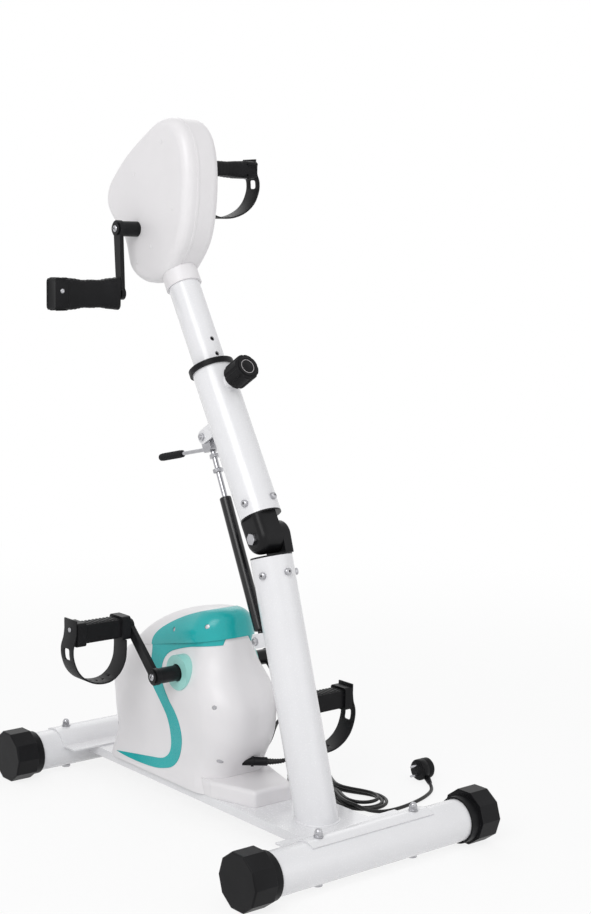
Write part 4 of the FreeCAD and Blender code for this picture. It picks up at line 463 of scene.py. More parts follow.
class Workpiece:
    """One new piece while it is modelled with Blender's own operators."""

    MERGE = 1e-6
    NEAR = 1e-5

    def __init__(self, name: str) -> None:
        """Take over the object that an operator has just made the active one.

        Args:
            name: The piece's name.
        """
        self.obj = bpy.context.object
        self.obj.name = name
        self.obj.data.name = name

    @staticmethod
    def clear() -> None:
        """Leave edit mode and deselect everything."""
        active = bpy.context.object
        if active is not None and active.mode != "OBJECT":
            bpy.ops.object.mode_set(mode="OBJECT")
        bpy.ops.object.select_all(action="DESELECT")

    @classmethod
    def of_data(cls, name: str, data: bpy.types.ID) -> "Workpiece":
        """Start from a mesh or curve that no object has yet.

        Args:
            name: The piece's name.
            data: The mesh or curve.

        Returns:
            The new piece.
        """
        cls.clear()
        obj = put(name, data)
        obj.select_set(True)
        bpy.context.view_layer.objects.active = obj
        return cls(name)

    @classmethod
    def box(cls, name: str, size: Point, centre: Point = (0.0, 0.0, 0.0)) -> "Workpiece":
        """Start from a box.

        Args:
            name: The piece's name.
            size: Its three sizes in millimetres.
            centre: Its middle in millimetres.

        Returns:
            The new piece.
        """
        cls.clear()
        bpy.ops.mesh.primitive_cube_add(size=1.0, location=metres(centre), scale=metres(size))
        piece = cls(name)
        piece.apply_place()
        return piece

    @classmethod
    def turned(cls, name: str, stations: Sequence[Pair], sides: int = 48) -> "Workpiece":
        """Start from a disc and extrude it along +Z through stations.

        Args:
            name: The piece's name.
            stations: Distance along Z and radius of each ring, in millimetres.
            sides: Points of each ring.

        Returns:
            The new piece.
        """
        cls.clear()
        height, radius = stations[0]
        bpy.ops.mesh.primitive_circle_add(vertices=sides, radius=radius * MM, fill_type="NGON",
                                          location=(0, 0, height * MM))
        piece = cls(name)
        piece.apply_place()
        with piece.editing():
            for (low, here), (high, after) in zip(stations, stations[1:]):
                bpy.ops.mesh.extrude_region_move(TRANSFORM_OT_translate={"value": (0, 0, (high - low) * MM)})
                if after != here:
                    bpy.ops.transform.resize(value=(after / here, after / here, 1.0),
                                             center_override=(0, 0, high * MM))
            cls.face_outward()
        return piece

    @classmethod
    def ribbon(cls, name: str, line: Sequence[Vector], width: float, thickness: float) -> "Workpiece":
        """Extrude an edge that lies along Y through the points of a line in XZ, then give it thickness.

        Args:
            name: The piece's name.
            line: Middle line in millimetres.
            width: Width along Y in millimetres.
            thickness: Thickness in millimetres, half to each side of the line.

        Returns:
            The new piece.
        """
        cls.clear()
        first = line[0] * MM
        bpy.ops.mesh.primitive_plane_add(size=1.0, location=first)
        piece = cls(name)
        with piece.editing():
            piece.pick("VERT", lambda co: co.x > 0)
            bpy.ops.mesh.delete(type="VERT")
            bpy.ops.mesh.select_all(action="SELECT")
            bpy.ops.transform.translate(value=(0.5, 0, 0))
            bpy.ops.transform.resize(value=(1.0, width * MM, 1.0), center_override=first)
            for here, after in zip(line, line[1:]):
                bpy.ops.mesh.extrude_edges_move(TRANSFORM_OT_translate={"value": (after - here) * MM})
        piece.apply_place()
        piece.modify("SOLIDIFY", thickness=thickness * MM, offset=0.0)
        return piece

    @classmethod
    def copy_of(cls, node: bpy.types.Object, name: str) -> "Workpiece":
        """Start from a copy of a node's mesh with its doubles merged.

        Args:
            node: The CAD node's object, left as it is.
            name: The piece's name.

        Returns:
            The new piece.
        """
        piece = cls.of_data(name, node.data.copy())
        with piece.editing():
            bpy.ops.mesh.remove_doubles(threshold=cls.MERGE)
        return piece

    def activate(self) -> None:
        """Select this piece alone and make it active."""
        self.clear()
        self.obj.select_set(True)
        bpy.context.view_layer.objects.active = self.obj

    @contextmanager
    def editing(self) -> Iterator[None]:
        """Stay in edit mode on this piece, all of it selected at first.

        Yields:
            Nothing, while edit mode lasts.
        """
        self.activate()
        bpy.ops.object.mode_set(mode="EDIT")
        bpy.ops.mesh.select_all(action="SELECT")
        yield
        bpy.ops.object.mode_set(mode="OBJECT")

    @staticmethod
    def face_outward() -> None:
        """Turn every face's normal outward, in edit mode."""
        bpy.ops.mesh.select_all(action="SELECT")
        bpy.ops.mesh.normals_make_consistent(inside=False)

    def pick(self, kind: str, test: Callable[..., bool]) -> None:
        """Select the elements that pass a test, in edit mode.

        Args:
            kind: VERT tests a place, EDGE its two ends, FACE its middle and normal.
            test: The test.
        """
        bpy.ops.mesh.select_mode(type=kind)
        bpy.ops.mesh.select_all(action="DESELECT")
        mesh = bmesh.from_edit_mesh(self.obj.data)
        if kind == "VERT":
            for vertex in mesh.verts:
                vertex.select_set(test(vertex.co))
            mesh.select_flush_mode()
        elif kind == "EDGE":
            for edge in mesh.edges:
                edge.select_set(test(edge.verts[0].co, edge.verts[1].co))
        else:
            for face in mesh.faces:
                face.select_set(test(face.calc_center_median(), face.normal))
        bmesh.update_edit_mesh(self.obj.data)

    def drop_faces(self, test: Callable[..., bool]) -> None:
        """Delete the faces whose middle and normal pass a test, in edit mode."""
        self.pick("FACE", test)
        bpy.ops.mesh.delete(type="FACE")

    def inset(self, test: Callable[..., bool], *steps: Pair) -> None:
        """Inset the faces that pass a test, step after step.

        Args:
            test: Takes a face's middle and normal.
            steps: Width and rise of each step in millimetres.
        """
        with self.editing():
            self.pick("FACE", test)
            for width, rise in steps:
                bpy.ops.mesh.inset(thickness=width * MM, depth=rise * MM, use_individual=True)

    def bevel_edges(self, test: Callable[..., bool], width: float, segments: int) -> None:
        """Round the edges that pass a test.

        Args:
            test: Takes an edge's two ends.
            width: Bevel width in millimetres.
            segments: Facets of the round.
        """
        with self.editing():
            self.pick("EDGE", test)
            bpy.ops.mesh.bevel(offset=width * MM, segments=segments)

    @staticmethod
    def bisect(station: float, sign: int, drop_outer: bool) -> None:
        """Cut the whole mesh across X, in edit mode.

        Args:
            station: The cut's X in millimetres.
            sign: Side of the cut that counts as outer.
            drop_outer: Whether the outer side goes.
        """
        bpy.ops.mesh.select_all(action="SELECT")
        bpy.ops.mesh.bisect(plane_co=(station * MM, 0, 0), plane_no=(sign, 0, 0), clear_outer=drop_outer)

    def squeeze(self, station: float, scale: float) -> None:
        """Scale the section at one X station.

        Args:
            station: The section's X in millimetres.
            scale: Factor along Y and Z.
        """
        with self.editing():
            self.pick("VERT", lambda co: abs(co.x - station * MM) < self.NEAR)
            bpy.ops.transform.resize(value=(1.0, scale, scale), center_override=(station * MM, 0, 0))

    def modify(self, kind: str, **settings: object) -> None:
        """Add a modifier and apply it.

        Args:
            kind: Blender's modifier type.
            settings: The modifier's own settings.
        """
        self.activate()
        modifier = self.obj.modifiers.new(kind.lower(), kind)
        for key, value in settings.items():
            setattr(modifier, key, value)
        bpy.ops.object.modifier_apply(modifier=modifier.name)

    def round_edges(self, width: float, limit: float = 40.0) -> None:
        """Bevel every sharp edge.

        Args:
            width: Bevel width in millimetres.
            limit: Least angle of a sharp edge, in degrees.
        """
        self.modify("BEVEL", width=width * MM, segments=2, limit_method="ANGLE",
                    angle_limit=math.radians(limit))

    def cut(self, tool: "Workpiece") -> None:
        """Take another piece's space out of this one and remove that piece."""
        self.modify("BOOLEAN", operation="DIFFERENCE", object=tool.obj, solver="EXACT")
        bpy.data.objects.remove(tool.obj)

    def join(self, *others: "Workpiece") -> None:
        """Take other pieces' meshes into this one as they are.

        Args:
            others: The pieces, which are gone afterwards.
        """
        for other in others:
            self.activate()
            other.obj.select_set(True)
            bpy.ops.object.join()

    def apply_place(self) -> None:
        """Take the object's place into its mesh."""
        bpy.ops.object.transform_apply(location=True, rotation=True, scale=True)

    def place(self, matrix: Matrix) -> "Workpiece":
        """Move the piece by a matrix and take that into its mesh.

        Args:
            matrix: The move, in metres.

        Returns:
            This piece.
        """
        self.activate()
        self.obj.matrix_world = matrix
        self.apply_place()
        if matrix.determinant() < 0:
            with self.editing():
                self.face_outward()
        return self

    def finish(self, body: str, slot: str, look: Look, replaces: Sequence[str] = (),
               smooth: float = 35.0) -> bpy.types.Object:
        """Smooth, dress and fix the piece to its body.

        Args:
            body: The body it rides on.
            slot: Not used.
            look: Its finish.
            replaces: CAD nodes it stands for.
            smooth: Angle in degrees below which faces shade smooth.

        Returns:
            The finished object.
        """
        self.activate()
        bpy.ops.object.shade_smooth_by_angle(angle=math.radians(smooth))
        settle(self.obj, body, look, replaces)
        return self.obj


def settle(obj: bpy.types.Object, body: str, look: Look, replaces: Sequence[str] = ()) -> None:
    """Dress an object, fix it to its body and report it.

    Args:
        obj: The finished mesh or curve.
        body: The body it rides on.
        look: Its finish.
        replaces: CAD nodes it stands for.
    """
    PAINTS.dress(obj, look)
    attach(obj, body)
    if replaces:
        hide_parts(*replaces)
    log.info("piece %s on %s", obj.name, body)


# The tilted frames


@dataclass(frozen=True)
class MastFrames:
    """The hinge pin, the two tilts that place everything on the mast, and the gas spring's pins."""

    pivot: Point = (0.0, -115.185, 537.0)
    lower_tilt: float = 17.3
    upper_tilt: float = 30.8
    lower_pin: Point = (0.0, 67.0, -179.0)
    upper_pin: Point = (0.0, 70.0, 233.0)

    def frame(self, tilt: float) -> Matrix:
        """The matrix of a tube that leans by a tilt, from its own Z axis to the machine's frame."""
        return Matrix.Translation(metres(self.pivot)) @ Matrix.Rotation(-math.radians(tilt), 4, "X")

    @property
    def upper(self) -> Matrix:
        """The upper tube's matrix."""
        return self.frame(self.upper_tilt)

    @property
    def lower(self) -> Matrix:
        """The lower tube's matrix."""
        return self.frame(self.lower_tilt)


MAST = MastFrames()


# Mains cord


def tube_data(name: str, radius: float) -> bpy.types.Curve:
    """An empty round curve with closed ends.

    Args:
        name: The curve's name.
        radius: Its radius in metres, nought for a bare line.

    Returns:
        The curve data.
    """
    data = bpy.data.curves.new(name, "CURVE")
    data.dimensions = "3D"
    data.bevel_depth = radius
    data.bevel_resolution = 5
    data.use_fill_caps = True
    return data


@dataclass
class MainsCord:
    """The mains lead from its gland through a folded hank to the angled plug, in millimetres."""

    diameter: float = 7.0
    length: float = 2775.0
    gland: Point = (-14.2, -66.6, 113.0)
    gland_turn: float = -40.5
    gland_length: float = 46.0
    bend_share: float = 1.5
    lead: tuple[Point, ...] = (
        (60.0, -115.0, 116.0), (79.0, -109.0, 128.0), (88.0, -99.0, 145.5), (91.0, -82.5, 162.5),
        (92.0, -58.0, 171.0), (96.0, -34.0, 163.0), (102.5, -15.5, 143.5), (107.5, -0.5, 118.5),
        (110.0, 19.0, 94.0), (110.5, 43.0, 73.0), (109.0, 68.0, 53.5), (107.0, 91.0, 36.5),
        (107.0, 113.0, 23.5), (120.0, 131.5, 14.5), (142.5, 138.5, 8.5), (165.0, 131.0, 5.0),
        (178.6, 112.0, 4.0), (179.15, 87.16, 4.0), (178.4, 62.33, 4.0))
    tail: tuple[Point, ...] = (
        (193.5, -181.5, 7.5), (214.0, -198.0, 4.0), (243.0, -204.0, 4.0), (275.0, -202.0, 4.0),
        (308.0, -196.0, 4.0), (339.0, -187.0, 4.0), (367.0, -174.0, 4.0), (389.0, -157.0, 4.0),
        (404.0, -134.0, 5.5))
    centre: tuple[float, float] = (228.0, -50.0)
    half_run: float = 80.0
    inner_half: float = 32.0
    step: float = 8.8
    floor_z: float = 4.0
    layer: float = 7.7
    waist: float = 27.6
    loops_in: int = 2
    loops_out: int = 1
    run_turn: float = 0.3
    points_per_loop: int = 24
    lead_in: float = 19.0
    lead_out: Pair = (7.0, 29.8)
    sleeve_length: float = 34.0
    sleeve_ribs: int = 7
    sleeve_radii: Pair = (6.2, 4.0)
    sleeve_groove: float = 0.86

    def hank_point(self, turn: float) -> Vector:
        """A point of the hank after so many loops, in millimetres.

        Args:
            turn: Loops wound so far, fractions included.

        Returns:
            The point.
        """
        loop = math.floor(turn)
        share = turn - loop
        steps = min(loop, self.loops_in) - max(0, loop - self.loops_in)
        outward = loop >= self.loops_in
        change = self._smooth((share - 0.5) / self.run_turn) * (-1 if outward else 1)
        half = self.inner_half + self.step * (self.loops_in - steps - change)
        rise = 0.0
        if outward:
            rise = self._smooth(share / self.run_turn) if loop == self.loops_in else 1.0
        z = self.floor_z + self.layer * rise
        first = share < 0.5
        if share < self.run_turn or 0.5 <= share < 0.5 + self.run_turn:
            run = self.half_run * (2 * (share if first else share - 0.5) / self.run_turn - 1)
            waist = self.waist * math.cos(math.pi * run / (2 * self.half_run)) ** 2
            u, v = (run, -half + waist) if first else (-run, half - waist)
        else:
            start = self.run_turn if first else 0.5 + self.run_turn
            angle = math.pi * ((share - start) / (0.5 - self.run_turn) - 0.5)
            side = 1 if first else -1
            u, v = side * (self.half_run + half * math.cos(angle)), side * half * math.sin(angle)
        return Vector((self.centre[0] + v, self.centre[1] - u, z))

    @staticmethod
    def _smooth(share: float) -> float:
        """Ease from nought to one."""
        return 0.5 - 0.5 * math.cos(math.pi * min(max(share, 0.0), 1.0))

    def route(self) -> list[Vector]:
        """Lay the whole cord's control points from the gland to the plug.

        Returns:
            The points in millimetres.
        """
        turn = math.radians(self.gland_turn)
        aim = Vector((math.cos(turn), math.sin(turn), 0))
        points = [Vector(self.gland) + aim * self.gland_length * share for share in (1.0, self.bend_share)]
        points += [Vector(point) for point in self.lead]
        start = self.hank_point(0)
        points.append(start + Y_AXIS * self.lead_in)
        last = self.loops_in + self.loops_out + self.run_turn
        count = round(last * self.points_per_loop)
        points += [self.hank_point(last * number / count) for number in range(count + 1)]
        end = points[-1]
        points += [end - Y_AXIS * run for run in self.lead_out]
        return points + [Vector(point) for point in self.tail]

    def spline_curve(self, name: str, bevel: float) -> bpy.types.Object:
        """The route as one open NURBS spline.

        Args:
            name: The object's name.
            bevel: Radius in metres, nought for a bare line.

        Returns:
            The curve object, linked to the scene.
        """
        data = tube_data(name, bevel)
        data.resolution_u = 6
        points = self.route()
        spline = data.splines.new("NURBS")
        spline.points.add(len(points) - 1)
        for control, point in zip(spline.points, points):
            control.co = (*(point * MM), 1.0)
        spline.order_u = 3
        spline.use_endpoint_u = True
        return put(name, data)

    def centreline(self) -> list[Vector]:
        """Read points along the cord's own spline.

        Returns:
            The points in metres.
        """
        bare = self.spline_curve("cord_line", 0.0)
        mesh = bpy.data.meshes.new_from_object(bare.evaluated_get(bpy.context.evaluated_depsgraph_get()))
        points = [vertex.co.copy() for vertex in mesh.vertices]
        bpy.data.meshes.remove(mesh)
        bpy.data.objects.remove(bare)
        return points

    def sleeve(self) -> bpy.types.Object:
        """The tapered, ribbed strain relief on the first stretch of the cord.

        Returns:
            The sleeve as a mesh.
        """
        line = self.centreline()
        steps = 4 * self.sleeve_ribs
        spacing = self.sleeve_length * MM / steps
        points, walked, target = [line[0]], 0.0, spacing
        for here, after in zip(line, line[1:]):
            run = (after - here).length
            while walked + run >= target and len(points) <= steps:
                points.append(here.lerp(after, (target - walked) / run))
                target += spacing
            walked += run
        data = tube_data("cord_sleeve", MM)
        spline = data.splines.new("POLY")
        spline.points.add(len(points) - 1)
        wide, narrow = self.sleeve_radii
        for number, (control, point) in enumerate(zip(spline.points, points)):
            control.co = (*point, 1.0)
            taper = wide - (wide - narrow) * number / steps
            control.radius = taper if number % 4 in (0, 1) else taper * self.sleeve_groove
        Workpiece.of_data("cord_sleeve", data)
        bpy.ops.object.convert(target="MESH")
        return Workpiece("cord_sleeve").finish("base", "cord_rubber", Look.CORD_RUBBER)

    def build(self) -> None:
        cord = self.spline_curve("cord", self.diameter / 2 * MM)
        settle(cord, "base", Look.CORD_RUBBER, ("cord_lead", "cord_hank", "cord_tail"))
        parts = [self.sleeve(), *MainsPlug().build(self.route())]
        tuple(self.route()[0] * MM)


@dataclass
class MainsPlug:
    """An angled two-pin plug that lies on its rim, its cord entering from the side."""

    face: Point = (405.0, -97.0, 21.3)
    radius: float = 21.0
    depth: float = 32.0
    face_rings: tuple[Pair, ...] = ((0.0, 3.2), (0.6, 1.2), (2.4, 0.0))
    groove_rings: tuple[Pair, ...] = ((0.42, 0.0), (0.46, 0.9), (0.54, 0.9), (0.58, 0.0))
    back_rings: tuple[Pair, ...] = ((4.0, 0.4), (1.2, 3.0), (0.0, 7.0))
    pin_radius: float = 2.4
    pin_length: float = 19.0
    pin_tip: tuple[Pair, ...] = ((2.0, 0.0), (0.6, 0.7), (0.0, 1.5))
    pin_spacing: float = 19.0
    relief_length: float = 30.0
    relief_radii: Pair = (4.6, 6.6)
    relief_start: float = -3.0
    relief_ribs: int = 6
    rib_share: float = 0.86

    def build(self, route: Sequence[Vector]) -> list[bpy.types.Object]:
        """Make the plug's moulding and its pins.

        Args:
            route: The cord's control points in millimetres; the relief grows from the last one.

        Returns:
            The two pieces.
        """
        rings = [*self.face_rings, *((self.depth * share, less) for share, less in self.groove_rings),
                 *((self.depth - back, less) for back, less in self.back_rings)]
        disc = Workpiece.turned("plug_body", [(high, self.radius - less) for high, less in rings], sides=64)
        disc.place(along(X_AXIS, metres(self.face)))
        end, before = route[-1], route[-2]
        thin, thick = self.relief_radii
        rings = []
        for number in range(2 * self.relief_ribs + 1):
            share = number / (2 * self.relief_ribs)
            swell = thin + (thick - thin) * share
            rings.append((self.relief_length * share + self.relief_start,
                          swell if number % 2 else swell * self.rib_share))
        relief = Workpiece.turned("plug_relief", rings, sides=32)
        disc.join(relief.place(along((end - before).normalized(), metres(end))))
        body = disc.finish("base", "cord_rubber", Look.BLACK_PLASTIC, ("plug",), smooth=40)
        pins = []
        for side in Side:
            pin = Workpiece.turned("plug_pins", [(0.0, self.pin_radius), *(
                (self.pin_length - back, self.pin_radius - less) for back, less in self.pin_tip)], sides=24)
            at = metres(self.face) + Z_AXIS * side.value * self.pin_spacing / 2 * MM
            pins.append(pin.place(along(-X_AXIS, at)))
        pins[0].join(*pins[1:])
        return [body, pins[0].finish("base", "steel", Look.STEEL)]


# Grips, pedals and straps


def spindle(axis: Point, length: float, degrees: float, side: Side, start: float) -> Vector:
    """Find where a grip or pedal starts on its crank.

    Args:
        axis: The crank axle's middle.
        length: The crank's length.
        degrees: The left crank's angle from +Y towards +Z; the right one is opposite.
        side: The crank's side.
        start: The grip's or pedal's start along X.

    Returns:
        The place in millimetres.
    """
    angle = math.radians(degrees if side is Side.LEFT else degrees + 180)
    tip = Vector(axis) + Vector((0, length * math.cos(angle), length * math.sin(angle)))
    return tip + X_AXIS * side.value * start


def runs_along_x(end: Vector, other: Vector) -> bool:
    """Whether an edge runs along X more than across it."""
    return abs((end - other).x) > abs((end - other).yz.length)


@dataclass
class Strap:
    """A moulded strap that runs from a pedal's outer face, round below, to its inner end."""

    name: str
    body: str
    span: float
    half_height: float
    drop: float = 98.0
    width: float = 40.0
    thickness: float = 3.0
    slot_width: float = 18.0
    slot_middle: float = 1.65
    slot_round: float = 4.0
    hole_radius: float = 2.6
    hole_shares: tuple[float, ...] = (0.30, 0.415, 0.53, 0.645)
    seat: float = 0.3
    outer_shares: tuple[float, ...] = (1.25, 0.8, 0.35)
    line_steps: int = 5
    line_shares: tuple[tuple[float, float], ...] = (
        (1.035, -0.08), (1.078, -0.24), (1.070, -0.44), (0.990, -0.68), (0.840, -0.86), (0.620, -0.97),
        (0.380, -0.97), (0.200, -0.84), (0.100, -0.63), (0.075, -0.42))

    def line(self) -> list[Vector]:
        """Lay the strap's smoothed middle line in its own XZ plane.

        Returns:
            The points in millimetres.
        """
        outer = self.span + self.seat + self.thickness / 2
        knots = [Vector((outer, 0, self.half_height * share)) for share in self.outer_shares]
        knots += [Vector((self.span * u, 0, self.drop * v)) for u, v in self.line_shares]
        knots.append(Vector((self.span * self.line_shares[-1][0], 0, -self.half_height - self.seat)))
        points = []
        padded = [2 * knots[0] - knots[1], *knots, 2 * knots[-1] - knots[-2]]
        for a, b, c, e in zip(padded, padded[1:], padded[2:], padded[3:]):
            for step in range(self.line_steps):
                t = step / self.line_steps
                points.append(0.5 * (2 * b + (c - a) * t + (2 * a - 5 * b + 4 * c - e) * t * t
                                     + (3 * b - a - 3 * c + e) * t ** 3))
        return points + [knots[-1]]

    def build(self, place: Matrix) -> None:
        """Make the strap with its long window and adjusting holes.

        Args:
            place: From the strap's own frame to the machine's.
        """
        band = Workpiece.ribbon(self.name + "_band", self.line(), self.width, self.thickness)
        window = Workpiece.box("window", (self.span, self.slot_width, self.half_height),
                               (self.span * 1.5, 0, -self.half_height * self.slot_middle))
        window.bevel_edges(runs_along_x, self.slot_round, 3)
        band.cut(window)
        for share in self.hole_shares:
            hole = Workpiece.turned("hole", [(-self.drop * 1.3, self.hole_radius),
                                             (-self.drop * 0.7, self.hole_radius)], sides=20)
            band.cut(hole.place(Matrix.Translation(metres((self.span * share, 0, 0)))))
        band.round_edges(0.9)
        band.place(place)
        band.finish(self.body, "strap_rubber", Look.STRAP_RUBBER, (self.name,))


@dataclass
class HandGrip:
    """A waisted rubber grip with a square end block on one arm spindle."""

    side: Side
    start: float = 92.3
    axis: Point = (0.0, 247.0, 1083.0)
    crank: float = 122.0
    crank_angle: float = -94.0
    length: float = 142.0
    block: float = 28.0
    end_height: float = 62.0
    waist_height: float = 52.0
    wave: float = 0.018
    flat: float = 34.0
    margin: float = 3.0
    ridges: int = 26
    valley: float = 0.965
    lip: float = 0.985
    rubber_gap: float = 0.4
    rubber_round: float = 11.0
    block_round: float = 7.0
    block_share: float = 0.93
    block_inset: float = 0.6
    end_steps: tuple[Pair, ...] = ((3.0, 0.0), (0.6, -1.4))
    side_steps: tuple[Pair, ...] = ((4.0, 0.0), (0.5, -1.6))
    rivet_rings: tuple[Pair, ...] = ((-1.0, 4.2), (0.8, 4.2), (1.5, 3.4), (1.8, 2.0))
    rivet_step: Pair = (0.4, -0.7)
    rivet_seat: Pair = (0.3, 6.0)

    def placing(self, rolled: bool) -> Matrix:
        """From the grip's own frame, along +X from the crank, to the machine's.

        Args:
            rolled: Whether the grip lies flat.

        Returns:
            The matrix.
        """
        start = spindle(self.axis, self.crank, self.crank_angle, self.side, self.start)
        roll = Matrix.Rotation(math.pi / 2, 4, "X") if rolled else Matrix.Identity(4)
        return Matrix.Translation(metres(start)) @ roll @ Matrix.Diagonal((self.side.value, 1, 1, 1))

    def rubber(self, node: str, length: float) -> Workpiece:
        """Make the ridged and waisted rubber.

        Args:
            node: The grip's node.
            length: The rubber's length in millimetres.

        Returns:
            The rubber in the grip's own frame.
        """
        rubber = Workpiece.box(node + "_rubber", (length - self.rubber_gap, self.flat, self.end_height),
                               (length / 2, 0, 0))
        rubber.bevel_edges(runs_along_x, self.rubber_round, 6)
        run = length - 2 * self.margin
        stations = [self.margin + run * number / self.ridges for number in range(self.ridges + 1)]
        with rubber.editing():
            for station in stations:
                rubber.bisect(station, 1, False)
        waist = self.waist_height / self.end_height
        for number, station in enumerate(stations):
            middle = 2 * station / length - 1
            bulge = waist + (1 - waist) * middle * middle + self.wave * math.cos(3 * math.pi * middle)
            ridge = self.valley if number % 2 else 1.0
            collar = 1.0 if 0 < number < self.ridges else self.lip
            rubber.squeeze(station, bulge * ridge * collar)
        rubber.round_edges(1.0, 50.0)
        return rubber

    def build(self) -> None:
        """Make the rubber, the end block and its rivet."""
        node = f"arm_grip_{self.side.label}"
        place = self.placing(self.side is Side.RIGHT)
        length = self.length - self.block
        rubber = self.rubber(node, length).place(place)
        rubber.finish(node, "grip_rubber", Look.GRIP_RUBBER, (node,), smooth=25)
        size = (self.block, self.flat - self.block_inset, self.end_height * self.block_share)
        block = Workpiece.box(node + "_end", size, (length + self.block / 2, 0, 0))
        block.bevel_edges(runs_along_x, self.block_round, 5)
        block.inset(lambda centre, normal: normal.x > 0.9, *self.end_steps)
        block.inset(lambda centre, normal: abs(normal.z) > 0.95, *self.side_steps)
        block.round_edges(0.8)
        block.place(place).finish(node, "black_plastic", Look.BLACK_PLASTIC)
        rivet = Workpiece.turned(node + "_rivet", self.rivet_rings, sides=32)
        rivet.inset(lambda centre, normal: normal.z > 0.98, self.rivet_step)
        sunk, high = self.rivet_seat
        seat = metres((self.length - self.block / 2, -self.flat / 2 + sunk, high))
        rivet.place(place @ along(-Y_AXIS, seat)).finish(node, "steel", Look.STEEL)


@dataclass
class FootPedal:
    """Details of one leg pedal: tread ribs on its bar and the bolted plate on its outer end block."""

    side: Side
    start: float = 142.0
    axis: Point = (-10.0, 32.0, 271.0)
    crank: float = 118.0
    crank_angle: float = 43.0
    length: float = 114.0
    block: float = 18.0
    block_height: float = 44.0
    bar: float = 34.0
    rib_count: int = 9
    rib_margin: float = 4.0
    rib_inset: float = 7.0
    rib_proud: float = 2.6
    groove_share: float = 0.45
    groove_depth: float = 10.0
    groove_middle: float = 5.1
    plate_thickness: float = 2.0
    plate_margin: float = 8.0
    plate_height: float = 12.0
    plate_seat: Pair = (0.6, 3.5)
    plate_round: float = 4.0
    screw_rings: tuple[Pair, ...] = ((-1.0, 4.5), (1.2, 4.5), (2.0, 3.8), (2.4, 2.2))
    screw_seat: Pair = (3.3, 8.0)

    def placing(self) -> Matrix:
        """From the pedal's own frame, along +X from the crank, to the machine's."""
        start = spindle(self.axis, self.crank, self.crank_angle, self.side, self.start)
        return Matrix.Translation(metres(start)) @ Matrix.Diagonal((self.side.value, 1, 1, 1))

    def build(self) -> None:
        """Make the ribs, the end plate and its screw."""
        node = f"leg_pedal_{self.side.label}"
        place = self.placing()
        inner = self.block + self.rib_margin
        free = self.length - 2 * inner
        gap = free / self.rib_count
        ribs = Workpiece.box(node + "_ribs", (free, self.bar - self.rib_inset, self.bar + self.rib_proud),
                             (self.length / 2, 0, 0))
        for number in range(self.rib_count):
            ribs.cut(Workpiece.box(
                "groove", (gap * self.groove_share, self.bar * 2, self.groove_depth),
                (inner + gap * (number + 0.5), 0, self.bar / 2 + self.groove_middle)))
        ribs.round_edges(0.5)
        sunk, low = self.plate_seat
        plate = Workpiece.box(
            node + "_plate",
            (self.plate_thickness, self.block_height - self.plate_margin, self.plate_height),
            (self.length - sunk, 0, self.block_height / 2 - low))
        plate.bevel_edges(runs_along_x, self.plate_round, 4)
        plate.round_edges(0.4)
        for piece in (ribs, plate):
            piece.place(place).finish(node, "black_plastic", Look.BLACK_PLASTIC)
        out, high = self.screw_seat
        screw = Workpiece.turned(node + "_screw", self.screw_rings, sides=32)
        screw.place(place @ along(X_AXIS, metres((self.length + out, 0, high))))
        screw.finish(node, "steel", Look.STEEL)


# Mast and head details


